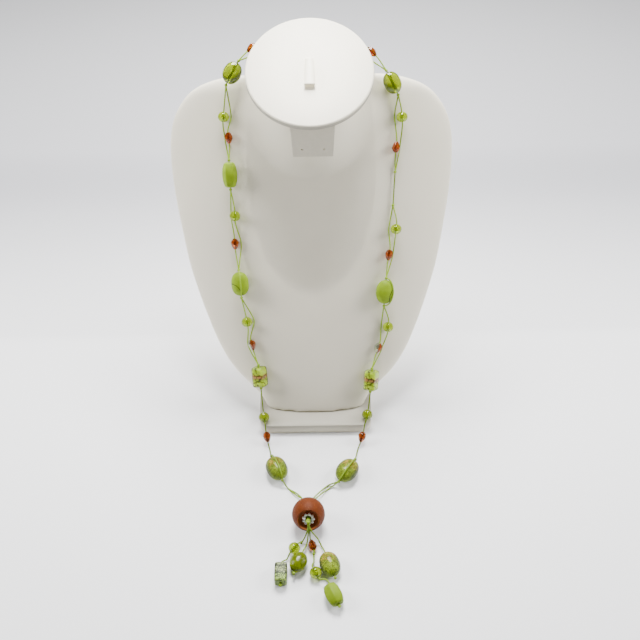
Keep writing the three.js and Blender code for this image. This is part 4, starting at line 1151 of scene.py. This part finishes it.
def cord_tree(settings, material):
    """Twisted tubes along the edges it is given, and a tied knot at each point with a tie size."""
    tree, given, identifiers = new_tree("twisted_cord", {
        "Cord radius": settings.radius, "Twist pitch": settings.pitch})
    tie = add(tree, "GeometryNodeInputNamedAttribute", {"data_type": "FLOAT"}, {"Name": "tie"})
    tie = tie.outputs["Attribute"]
    is_tie = add(tree, "FunctionNodeCompare", {"operation": "GREATER_THAN"}, {0: tie, 1: 0.0})
    parts = add(tree, "GeometryNodeSeparateGeometry", {"domain": "POINT"}, {
        "Geometry": given["Geometry"], "Selection": is_tie}).outputs
    strands = add(tree, "GeometryNodeMeshToCurve", None, {"Mesh": parts["Inverted"]})
    length = add(tree, "GeometryNodeSplineParameter").outputs["Length"]
    turns = add(tree, "ShaderNodeMath", {"operation": "DIVIDE"}, {0: length, 1: given["Twist pitch"]})
    tilt = add(tree, "ShaderNodeMath", TIMES, {0: turns, 1: 2 * math.pi})
    twisted = add(tree, "GeometryNodeSetCurveTilt", None, {"Curve": strands, "Tilt": tilt})
    # Three plies show as three lobes round the section
    plies = add(tree, "GeometryNodeCurvePrimitiveCircle", None, {"Resolution": 12, "Radius": 1.0})
    factor = add(tree, "GeometryNodeSplineParameter").outputs["Factor"]
    third = add(tree, "ShaderNodeMath", TIMES, {0: factor, 1: 6 * math.pi})
    lobe = add(tree, "ShaderNodeMath", {"operation": "COSINE"}, {0: third})
    swell = add(tree, "ShaderNodeMath", TIMES_PLUS, {0: lobe, 1: 0.09, 2: 0.91})
    full = add(tree, "ShaderNodeMath", TIMES, {0: swell, 1: given["Cord radius"]})
    here = add(tree, "GeometryNodeInputPosition")
    spread = add(tree, "ShaderNodeVectorMath", SCALED, {0: here, "Scale": full})
    lobed = add(tree, "GeometryNodeSetPosition", None, {"Geometry": plies, "Position": spread})
    tubes = add(tree, "GeometryNodeCurveToMesh", None, {
        "Curve": twisted, "Profile Curve": lobed, "Fill Caps": True})
    # A knot is a trefoil round a small heart: sin t + 2 sin 2t, cos t - 2 cos 2t, -1.4 sin 3t
    round_it = add(tree, "GeometryNodeCurvePrimitiveCircle", None, {"Resolution": 36, "Radius": 1.0})
    share = add(tree, "GeometryNodeSplineParameter").outputs["Factor"]
    t = add(tree, "ShaderNodeMath", TIMES, {0: share, 1: 2 * math.pi})
    sine, cosine = {}, {}
    for count in (1, 2, 3):
        many = add(tree, "ShaderNodeMath", TIMES, {0: t, 1: count})
        for waves, operation in ((sine, "SINE"), (cosine, "COSINE")):
            waves[count] = add(tree, "ShaderNodeMath", {"operation": operation}, {0: many})
    x = add(tree, "ShaderNodeMath", TIMES_PLUS, {0: sine[2], 1: 2.0, 2: sine[1]})
    y = add(tree, "ShaderNodeMath", TIMES_PLUS, {0: cosine[2], 1: -2.0, 2: cosine[1]})
    z = add(tree, "ShaderNodeMath", TIMES, {0: sine[3], 1: -1.4})
    trefoil = add(tree, "ShaderNodeCombineXYZ", None, {"X": x, "Y": y, "Z": z})
    loop = add(tree, "ShaderNodeVectorMath", SCALED, {0: trefoil, "Scale": TREFOIL_SCALE})
    tied = add(tree, "GeometryNodeSetPosition", None, {"Geometry": round_it, "Position": loop})
    ring = add(tree, "GeometryNodeCurvePrimitiveCircle", None, {"Resolution": 8, "Radius": TREFOIL_CORD})
    knot = add(tree, "GeometryNodeCurveToMesh", None, {"Curve": tied, "Profile Curve": ring})
    heart = add(tree, "GeometryNodeMeshUVSphere", None, {"Segments": 12, "Rings": 8, "Radius": KNOT_HEART})
    both = add(tree, "GeometryNodeJoinGeometry", None, {0: [knot, heart]})
    way = add(tree, "GeometryNodeInputNamedAttribute", {"data_type": "FLOAT_VECTOR"}, {"Name": "way"})
    facing = add(tree, "FunctionNodeAlignRotationToVector", {"axis": "Z"}, {
        "Vector": way.outputs["Attribute"]})
    spots = add(tree, "GeometryNodeMeshToPoints", None, {"Mesh": parts["Selection"]})
    knots = add(tree, "GeometryNodeInstanceOnPoints", None, {
        "Points": spots, "Instance": both, "Rotation": facing, "Scale": tie})
    close_tree(tree, [tubes, knots], material, smooth=True)
    return tree, {identifiers["Cord radius"]: settings.radius, identifiers["Twist pitch"]: settings.pitch}


def cord_mesh(name, runs, knots, tree, values):
    """One cord piece: twisted tubes along the runs, and a tied knot at each (centre, way, radius)."""
    points, edges = [], []
    for run in runs:
        base = len(points)
        points += run
        edges += [(base + i, base + i + 1) for i in range(len(run) - 1)]
    ties = [0.0] * len(points) + [radius * MM for _, _, radius in knots]
    ways = [(0.0, 0.0, 1.0)] * len(points) + [tuple(way) for _, way, _ in knots]
    cord = mesh_object(name, points + [centre for centre, _, _ in knots], [], edges=edges)
    keep(keep(cord, "tie", "FLOAT", ties), "way", "FLOAT_VECTOR", ways)
    return grown(cord, tree, values)


def row_frame(row):
    """A route row's centre, across, out and along; a loose point has only its centre."""
    if "bead" in row:
        lie = LIES[row["bead"]]
        return lie["centre"], lie["across"], lie["out"], lie["along"]
    if "knot" in row:
        x, up = row["knot"]
        share = (abs(x) / chest_half(up)) ** CHEST_RIM_POWER
        rim = CHEST_THICKNESS / 2 * (1 - share) ** (1 / CHEST_RIM_POWER)
        face = chest_bow(x) - CHEST_THICKNESS / 2 + rim
        return on_chest_plane(x, up, face + KNOT_RADIUS + GAP), None, None, None
    return row["at"], None, None, None


def mouths(node, beyond):
    lie = LIES[node]
    reach = bead_size(node)[0] / 2 + beyond
    return lie["centre"] - lie["along"] * reach, lie["centre"] + lie["along"] * reach


def strand_points(row, strand, way, radius):
    """Where a strand goes at a row: through the bead if strung on it, and otherwise past its side."""
    centre, _, _, along = row_frame(row)
    if "bead" not in row:
        normal = seat_normal(centre)
        side = normal.cross(way).normalized()
        return [centre + side * ((-0.5 if strand == "one" else 0.5) * row.get("apart", 0.0))]
    if row["strand"] in (strand, "both"):
        return [*mouths(row["bead"], MOUTH_REACH)]
    length, width, _ = bead_size(row["bead"])
    half = seat_half(row["bead"])
    room = width / 2 + radius + GAP
    drop = 0.0 if row.get("free") else half - radius
    side = row["pass"] * (math.sqrt(max(room**2 - drop**2, 0)) + BYPASS_ROOM)
    normal = seat_normal(centre)
    flat_across = normal.cross(along).normalized()
    return [centre - normal * drop + flat_across * side + along * (end * length * 0.2) for end in (-1, 1)]


def over_points(row, start, end, radius):
    """The strand over a bead's face, from knot to knot."""
    lie = LIES[row["bead"]]
    length, width, thick = bead_size(row["bead"])
    reach = length / 2 + KNOT_RADIUS + GAP
    aside = math.asin(row["over"])
    points = [start]
    steps = 9
    for i in range(1, steps):
        angle = (i / steps - 0.5) * math.pi
        c, s = math.cos(angle), math.sin(angle)
        points.append(lie["centre"] + lie["along"] * (reach * s)
                      + lie["out"] * ((thick / 2 + radius + OVER_GAP) * c * math.cos(aside))
                      + lie["across"] * ((width / 2 + radius + OVER_GAP) * c * math.sin(aside)))
    return [*points, end]


def side_cord(route, starts, ends, radius):
    """Runs and knots of one side of the string, between its stations."""
    runs, ties = [], []
    source, loose = starts, []
    centres = [starts[0], *(row_frame(row)[0] for row in route), ends[0]]

    def run_to(target):
        single = bool(loose) and all(row.get("strand") == "both" for row, _ in loose)
        for i, strand in enumerate(("one",) if single else ("one", "two")):
            points = [p for row, way in loose for p in strand_points(row, strand, way, radius)]
            first, last = source[min(i, len(source) - 1)], target[min(i, len(target) - 1)]
            runs.append(smooth_run([first, *points, last]))

    for k, row in enumerate(route):
        way = centres[k + 2] - centres[k]
        if "knot" in row:
            centre = row_frame(row)[0]
            run_to([centre])
            ties.append((centre, way, KNOT_RADIUS))
            source, loose = [centre], []
        elif "bead" in row and "strand" not in row:
            before, after = mouths(row["bead"], KNOT_RADIUS + GAP)
            run_to([before])
            ties += [(before, way, KNOT_RADIUS), (after, way, KNOT_RADIUS)]
            runs.append(smooth_run([before, after]))
            if "over" in row:
                runs.append(smooth_run(over_points(row, before, after, radius)))
            source, loose = [after], []
        else:
            loose.append((row, way))
    run_to(ends)
    return runs, ties


def side_ends(sign, back_knot):
    """Where the two strands of a side start, at the nape, and end, behind the large bead."""
    starts = [on_chest_plane(sign * GAP, NAPE_UP + way * NAPE_APART, NAPE_OUT) for way in (-1, 1)]
    ends = [back_knot + Vector((sign * (1.3 + 0.75 * (1 + way)), STEM_KNOT_RADIUS + 2 * GAP, 0))
            for way in (-1, 1)]
    return starts, ends


class NECKLACE_OT_cords(bpy.types.Operator):
    """Makes the doubled cord of both sides, the stem through the large bead and the tassel's strands"""
    bl_idname = "necklace.cords"
    bl_label = "Cords"

    def execute(self, context):
        settings = context.scene.necklace_cord
        material = waxed_cord(settings)
        radius = settings.radius / MM
        grow = cord_tree(settings, material)
        back_knot = LARGE_CENTRE + LARGE_AXIS * (-LARGE_RADIUS - STEM_KNOT_RADIUS - GAP / 2)
        for side, sign, route in (("left", -1, LEFT_ROUTE), ("right", 1, RIGHT_ROUTE)):
            runs, ties = side_cord(route, *side_ends(sign, back_knot), radius)
            cord = cord_mesh(side + "_cord", runs, ties, *grow)
            finished(cord, side + "_thread", material)
        front = LARGE_CENTRE + LARGE_AXIS * (DISH_FLOOR + GAP + CAP_THICKNESS + STEM_KNOT_RADIUS + 2 * GAP)
        runs = []
        ties = [(back_knot, LARGE_AXIS, STEM_KNOT_RADIUS), (front, LARGE_AXIS, FRONT_KNOT_RADIUS)]
        for dx, dz in ((-1, 0), (1, 0), (0, -1), (0, 1)):
            shift = Vector((dx, 0, dz)) * STEM_SPREAD
            runs.append(smooth_run([back_knot + shift, front + shift]))
        for route, aside in zip(TASSEL_ROUTES, TASSEL_SPREAD):
            centres = [front, *(row_frame(row)[0] for row in route)]
            centres.append(centres[-1] * 2 - centres[-2])
            points = [front + Vector((aside, 0, -0.4)),
                      front + Vector((aside * 0.8, 0, 0)) + LARGE_AXIS * 1.6]
            for k, row in enumerate(route):
                way = centres[k + 2] - centres[k]
                points += strand_points(row, "one", way, radius)
                if row.get("knotted"):
                    ties.append((row["at"], way, KNOT_RADIUS))
            last = route[-1]["bead"]
            end = mouths(last, KNOT_RADIUS + GAP)[1]
            runs.append(smooth_run([*points, end]))
            ties.append((end, LIES[last]["along"], KNOT_RADIUS))
        finished(cord_mesh("tassel_cords", runs, ties, *grow), "tassel_threads", material)
        return {"FINISHED"}


# Bust

def cubic(table, at):
    """A smooth value through a table of (place, value) rows."""
    places = [p for p, _ in table]
    values = [v for _, v in table]
    at = min(max(at, places[0]), places[-1])
    i = min(max(np.searchsorted(places, at) - 1, 0), len(places) - 2)
    h = places[i + 1] - places[i]
    t = (at - places[i]) / h

    def slope(k):
        if k == 0:
            return (values[1] - values[0]) / (places[1] - places[0])
        if k == len(places) - 1:
            return (values[-1] - values[-2]) / (places[-1] - places[-2])
        return (values[k + 1] - values[k - 1]) / (places[k + 1] - places[k - 1])

    m0, m1 = slope(i) * h, slope(i + 1) * h
    return ((2 * t**3 - 3 * t**2 + 1) * values[i] + (t**3 - 2 * t**2 + t) * m0
            + (3 * t**2 - 2 * t**3) * values[i + 1] + (t**3 - t**2) * m1)


def chest_half(up):
    return cubic(CHEST_OUTLINE, up / CHEST_LENGTH) * CHEST_HALF_WIDTH


def chest_bow(x):
    return math.sqrt(CHEST_BOW_RADIUS**2 - x**2) - CHEST_BOW_RADIUS


def chest_panel():
    """The chest's panel, in fine slices from below the board to its rounded top edge."""
    rings = []
    steps, around = 90, 112
    start = CHEST_OUTLINE[0][0]
    for i in range(steps + 1):
        share = start + (1 - start) * (1 - (1 - i / steps) ** 1.5)
        up = share * CHEST_LENGTH
        near_top = min(max((share - 0.95) / 0.05, 0), 1)
        half = chest_half(up)
        thick = CHEST_THICKNESS * (1 - CHEST_TOP_THINNING * near_top**2) / 2
        ring = []
        for k in range(around):
            angle = 2 * math.pi * k / around
            along = math.cos(angle)
            rim = max(1 - abs(along) ** CHEST_RIM_POWER, 0) ** (1 / CHEST_RIM_POWER)
            depth = math.copysign(thick * rim, math.sin(angle)) if abs(math.sin(angle)) > 1e-9 else 0.0
            out = chest_bow(half * along) - CHEST_THICKNESS / 2 + depth
            ring.append(on_chest_plane(half * along, up, out))
        rings.append(ring)
    return loft(rings)


def on_pad(x, uphill, above):
    centre = on_chest_plane(0, PAD_UP, PAD_OUT)
    return (centre + Vector((x, 0, 0)) + Vector((0, math.cos(PAD_TILT), math.sin(PAD_TILT))) * uphill
            + Vector((0, -math.sin(PAD_TILT), math.cos(PAD_TILT))) * above)


def neck_line(top, fillet, floor):
    lean = Vector((0, -math.sin(NECK_LEAN), math.cos(NECK_LEAN)))
    rise = (top - CHEST_TOE).dot(CHEST_OUT) - floor
    corner = top + lean * (-rise / lean.dot(CHEST_OUT))
    root = corner + fillet - CHEST_OUT * NECK_ROOT
    return lambda t: top * (1 - t) ** 2 + corner * (2 * t * (1 - t)) + root * t**2


def neck():
    """The neck, from under the pad down into the chest, flaring where it meets it."""
    below = -PAD_THICKNESS - GAP
    front = neck_line(on_pad(0, -NECK_RADIUS, below), CHEST_UP * -NECK_FRONT_FILLET, 0)
    side = neck_line(on_pad(NECK_RADIUS, 0, below), Vector((NECK_SIDE_FILLET, 0, 0)), chest_bow(NECK_RADIUS))
    back = neck_line(on_pad(0, NECK_RADIUS, below), CHEST_UP * -NECK_SIDE_FILLET,
                     -CHEST_THICKNESS + 1.2 + NECK_ROOT)
    rings = []
    levels, around = 24, 96
    for k in range(levels, -1, -1):
        f, s, b = front(k / levels), side(k / levels), back(k / levels)
        ring = []
        for i in range(around):
            angle = 2 * math.pi * i / around
            along = math.cos(angle)
            end = f if along > 0 else b
            point = Vector((0, s.y, s.z)).lerp(Vector((0, end.y, end.z)), abs(along))
            ring.append(Vector((s.x * math.sin(angle), point.y, point.z)))
        rings.append(ring)
    return loft(rings)


def chest_form():
    """Chest and neck in one skin, cut off level just above the foot board."""
    chest = tidy_normals(mesh_object("chest_form_skin", *chest_panel()))
    throat = tidy_normals(mesh_object("neck_part", *neck()))
    room, low = CUT_ROOM, FOOT_HEIGHT + GAP
    box = [(x, y, z) for x in (-room, room) for y in (-room, room) for z in (low - room, low)]
    ground = tidy_normals(mesh_object("ground_part", box, [
        (0, 1, 3, 2), (4, 6, 7, 5), (0, 4, 5, 1), (2, 3, 7, 6), (0, 2, 6, 4), (1, 5, 7, 3)]))
    cut_with(chest, throat, "UNION")
    cut_with(chest, ground, "DIFFERENCE")
    skin = chest.modifiers.new("skin", "REMESH")
    skin.mode, skin.voxel_size, skin.use_smooth_shade = "VOXEL", SKIN_VOXEL * MM, True
    eased = chest.modifiers.new("eased", "SMOOTH")
    eased.factor, eased.iterations = SKIN_EASING
    baked(chest)
    for tool in (throat, ground):
        bpy.data.objects.remove(tool)
    return chest


def foot_board():
    """The flat board under the bust, with its long edges rounded and a painted shade on its top."""
    front, back, depth, corner = FOOT_FRONT_WIDTH / 2, FOOT_BACK_WIDTH / 2, FOOT_DEPTH / 2, FOOT_CORNER
    corners = ((front - corner, -depth, front, -depth, front, -depth + corner),
               (back, depth - corner, back, depth, back - corner, depth),
               (-back + corner, depth, -back, depth, -back, depth - corner),
               (-front, -depth + corner, -front, -depth, -front + corner, -depth))
    outline = []
    for x0, y0, x1, y1, x2, y2 in corners:
        for i in range(13):
            t = i / 12
            outline.append(Vector(((1 - t) ** 2 * x0 + 2 * t * (1 - t) * x1 + t * t * x2,
                                   (1 - t) ** 2 * y0 + 2 * t * (1 - t) * y1 + t * t * y2)))
    centre = Vector((sum(p[0] for p in outline) / len(outline), sum(p[1] for p in outline) / len(outline)))
    edge, high = FOOT_EDGE, FOOT_HEIGHT
    rings = []
    for inset, height in ((edge, 0.0), (edge * 0.3, edge * 0.3), (0, edge), (0, high - edge),
                          (edge * 0.3, high - edge * 0.3), (edge, high)):
        arms = [p - centre for p in outline]
        rings.append([(*(centre + arm * (1 - inset / arm.length)), height) for arm in arms])
    foot = tidy_normals(mesh_object("foot_board_skin", *loft(rings)))
    # Its top half gets a painted shade, where the chest blocks the light
    return keep(foot, "greyed", "FLOAT", [
        FOOT_PAINTED_SHADE if v.co.z > FOOT_HEIGHT / 2 * MM else 0.0 for v in foot.data.vertices])


def ring_pad():
    """The round pad on the neck, a padded disc with a soft edge, grooved where its cover is joined."""
    edge = PAD_EDGE
    rows = [(0.001, -PAD_THICKNESS), (PAD_RADIUS * 0.6, -PAD_THICKNESS), (PAD_RADIUS - edge, -PAD_THICKNESS)]
    for centre_height, start in ((-PAD_THICKNESS + edge, -90), (-edge, 0)):
        for i in range(1, 9):
            angle = math.radians(start + 90 * i / 8)
            rows.append((PAD_RADIUS - edge + edge * math.cos(angle), centre_height + edge * math.sin(angle)))
        if start:
            seam = -PAD_THICKNESS / 2
            rows += [(PAD_RADIUS, seam - SEAM_HALF), (PAD_RADIUS - SEAM_DEPTH, seam),
                     (PAD_RADIUS, seam + SEAM_HALF)]
    rows += [(PAD_RADIUS * 0.6, 0.0), (0.001, 0.0)]
    vertices, faces = loft(turned_rings(rows, 128))
    pad = mesh_object("ring_pad_skin", [on_pad(*v) for v in vertices], faces)
    # The pad's edge and underside get a painted shade, below a thin band at its top
    return tidy_normals(keep(pad, "greyed", "FLOAT", [
        PAD_PAINTED_SHADE if v.z < -PAD_UNSHADED_DEPTH else 0.0 for v in vertices]))


def between(widths, share):
    """Half the width at a share of the way from the first width to the second."""
    return (widths[0] + (widths[1] - widths[0]) * share) / 2


def ring_tongue():
    """The strip on the pad that holds a ring, a little bowed, with its free end near the rim."""
    rings = []
    steps = 24
    section = ((-1, 0.25), (-0.94, 0), (0.94, 0), (1, 0.25), (1, 0.75), (0.94, 1), (-0.94, 1), (-1, 0.75))
    for i in range(steps + 1):
        length = TONGUE_LENGTH * (i / steps)
        rise = math.tan(TONGUE_RISE) * length
        half = between(TONGUE_WIDTHS, i / steps)
        rings.append([on_pad(x * half, TONGUE_TOP - length, GAP + rise + z * TONGUE_THICKNESS)
                      for x, z in section])
    return tidy_normals(mesh_object("ring_tongue_skin", *loft(rings)))


def earring_tab():
    """The card under the pad with two pin holes, its top folded over."""
    top = on_pad(0, -PAD_RADIUS + TAB_OVERHANG, -PAD_THICKNESS - GAP)
    top.z -= TAB_THICKNESS * math.tan(PAD_TILT)
    section = ((-1, -1.3), (-1, -0.3), (-0.985, 0), (0.985, 0), (1, -0.3), (1, -1.3), (0.985, -1.6),
               (-0.985, -1.6))
    rows = [[(TAB_OFFSET + x * between(TAB_WIDTHS, share), top.y + y, top.z - TAB_HEIGHT * share)
             for x, y in section] for share in (0, 0.03, 0.5, 0.97, 1)]
    bend = ((-1.7, -0.2), (-1.7, -3.4), (-2.1, -3.6), (-2.7, -3.3), (-2.7, -0.6), (-2.3, -0.2))
    fold = [[(TAB_OFFSET + x, top.y + y, top.z + z) for y, z in bend]
            for x in (-TAB_WIDTHS[0] / 2, TAB_WIDTHS[0] / 2 - 1.2)]
    vertices, faces = loft(rows)
    strip, bends = loft(fold)
    faces += [tuple(i + len(vertices) for i in face) for face in bends]
    tab = tidy_normals(mesh_object("earring_tab_card", vertices + strip, faces))
    for side in (-1, 1):
        x = TAB_OFFSET + side * PIN_SPACING / 2
        z = top.z - TAB_HEIGHT + PIN_HEIGHT
        rings = [[(x + dx, top.y + y, z + dz) for dx, dz in circle(PIN_RADIUS, 24)] for y in (-3, 3)]
        pin = tidy_normals(mesh_object("pin_part", *loft(rings)))
        cut_with(tab, pin, "DIFFERENCE")
        baked(tab)
        bpy.data.objects.remove(pin)
    tab.data.polygons.foreach_set("use_smooth", [False] * len(tab.data.polygons))
    return tab


class NECKLACE_OT_bust(bpy.types.Operator):
    """Makes the bust: foot board, chest and neck, ring pad, tongue and tab, and covers the stand in
    leatherette
    """
    bl_idname = "necklace.bust"
    bl_label = "Bust"

    def execute(self, context):
        skin = leatherette(context.scene.necklace_bust)
        finished(chest_form(), "chest_form", skin)
        finished(foot_board(), "foot_board", skin)
        finished(ring_pad(), "ring_pad", skin)
        finished(ring_tongue(), "ring_tongue", skin)
        finished(earring_tab(), "earring_tab", card())
        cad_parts["back_stand"].data.materials.clear()
        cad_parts["back_stand"].data.materials.append(skin)
        return {"FINISHED"}


# Stage, in metres. A lamp's share is of the overhead light's power.

FLOOR_REACH = 3000.0
LAMPS = (
    {"name": "overhead_light", "at": (0.0, 0.29, 0.70), "to": (0.0, -0.1, 0.0), "share": 1.05, "size": 0.4},
    {"name": "pad_light", "at": (0.0, 0.2, 0.95), "to": (0.0, 0.046, 0.228), "share": 3.0, "size": 0.02,
     "cone": math.radians(6.4)},
    {"name": "left_light", "at": (-0.85, 0.05, 0.55), "to": (0.0, -0.05, 0.1), "share": 0.7, "size": 0.5,
     "mirrored": False},
    {"name": "right_light", "at": (0.85, 0.05, 0.55), "to": (0.0, -0.05, 0.1), "share": 0.7, "size": 0.5,
     "mirrored": False},
)
AIR_COLOUR = "#F2F4F8"
AIR_STRENGTH = 0.17
CAMERA_PLACE = (0.004494, -0.45715, 0.49006)
CAMERA_PITCH = math.radians(45)
CAMERA_ROLL = math.radians(-0.877)
CAMERA_LENS = 45.0
CAMERA_SENSOR = 36.0
CAMERA_CLIP = (0.01, 50.0)
SPOT_BLEND = 0.35


class NECKLACE_OT_stage(bpy.types.Operator):
    """Makes the plain pale floor, the soft lights and the camera at the photograph's angle"""
    bl_idname = "necklace.stage"
    bl_label = "Stage"

    def execute(self, context):
        settings = context.scene.necklace_stage
        size = FLOOR_REACH
        floor = mesh_object("floor", [(-size, -size, 0), (size, -size, 0), (size, size, 0), (-size, size, 0)],
                            [(0, 1, 2, 3)], smooth=False)
        floor.data.materials.append(painted_board(settings))
        floor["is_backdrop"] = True
        for lamp in LAMPS:
            self.light(lamp, settings.overhead)
        world = bpy.data.worlds.new("studio_air")
        context.scene.world = world
        world.use_nodes = True
        air = world.node_tree.nodes["Background"].inputs
        air["Color"].default_value, air["Strength"].default_value = rgba(hex_rgb(AIR_COLOUR)), AIR_STRENGTH
        data = bpy.data.cameras.new("camera")
        data.lens, data.sensor_width = CAMERA_LENS, CAMERA_SENSOR
        data.clip_start, data.clip_end = CAMERA_CLIP
        camera = bpy.data.objects.new("camera", data)
        context.collection.objects.link(camera)
        look = Matrix.Rotation(CAMERA_PITCH, 4, "X") @ Matrix.Rotation(CAMERA_ROLL, 4, "Z")
        camera.matrix_world = Matrix.Translation(CAMERA_PLACE) @ look
        context.scene.camera = camera
        return {"FINISHED"}

    def light(self, row, power):
        """A round lamp, or a spot where the row has a cone, seen in reflections unless the row says not."""
        data = bpy.data.lights.new(row["name"], "SPOT" if "cone" in row else "AREA")
        data.energy = power * row["share"]
        if "cone" in row:
            data.shadow_soft_size, data.spot_size = row["size"], row["cone"]
            data.spot_blend = SPOT_BLEND
        else:
            data.shape, data.size = "DISK", row["size"]
        lamp = bpy.data.objects.new(row["name"], data)
        lamp.location = row["at"]
        lamp.rotation_euler = (Vector(row["to"]) - Vector(row["at"])).to_track_quat("-Z", "Y").to_euler()
        lamp.visible_glossy = row.get("mirrored", True)
        bpy.context.collection.objects.link(lamp)


OPERATORS = (NECKLACE_OT_stage, NECKLACE_OT_bust, NECKLACE_OT_stone_beads, NECKLACE_OT_glass_beads,
             NECKLACE_OT_foil_beads, NECKLACE_OT_cap, NECKLACE_OT_cords)


class NECKLACE_PT_panel(bpy.types.Panel):
    """Lists the settings and the pieces"""
    bl_idname = "NECKLACE_PT_panel"
    bl_label = "Necklace"
    bl_space_type = "VIEW_3D"
    bl_region_type = "UI"
    bl_category = "Necklace"

    def draw(self, context):
        scene = context.scene
        for group in (scene.necklace_beads, scene.necklace_cord, scene.necklace_bust, scene.necklace_stage):
            box = self.layout.box()
            for key in group.__annotations__:
                box.prop(group, key)
        for operator in OPERATORS:
            self.layout.operator(operator.bl_idname)


SETTINGS = {
    "necklace_beads": NecklaceBeadSettings, "necklace_cord": NecklaceCordSettings,
    "necklace_bust": NecklaceBustSettings, "necklace_stage": NecklaceStageSettings,
}


def register():
    for kind in (*SETTINGS.values(), *OPERATORS, NECKLACE_PT_panel):
        bpy.utils.register_class(kind)
    for name, kind in SETTINGS.items():
        setattr(bpy.types.Scene, name, bpy.props.PointerProperty(type=kind))


def unregister():
    for name in SETTINGS:
        delattr(bpy.types.Scene, name)
    for kind in reversed((*SETTINGS.values(), *OPERATORS, NECKLACE_PT_panel)):
        bpy.utils.unregister_class(kind)


def main():
    register()
    bpy.ops.necklace.stage()
    bpy.ops.necklace.bust()
    bpy.ops.necklace.stone_beads()
    bpy.ops.necklace.glass_beads()
    bpy.ops.necklace.foil_beads()
    bpy.ops.necklace.cap()
    bpy.ops.necklace.cords()
    corners = {"cad": CAD_BOX, "visual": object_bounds()}
    {key: [list(corner) for corner in box] for key, box in corners.items()}


if __name__ == "__main__":
    main()
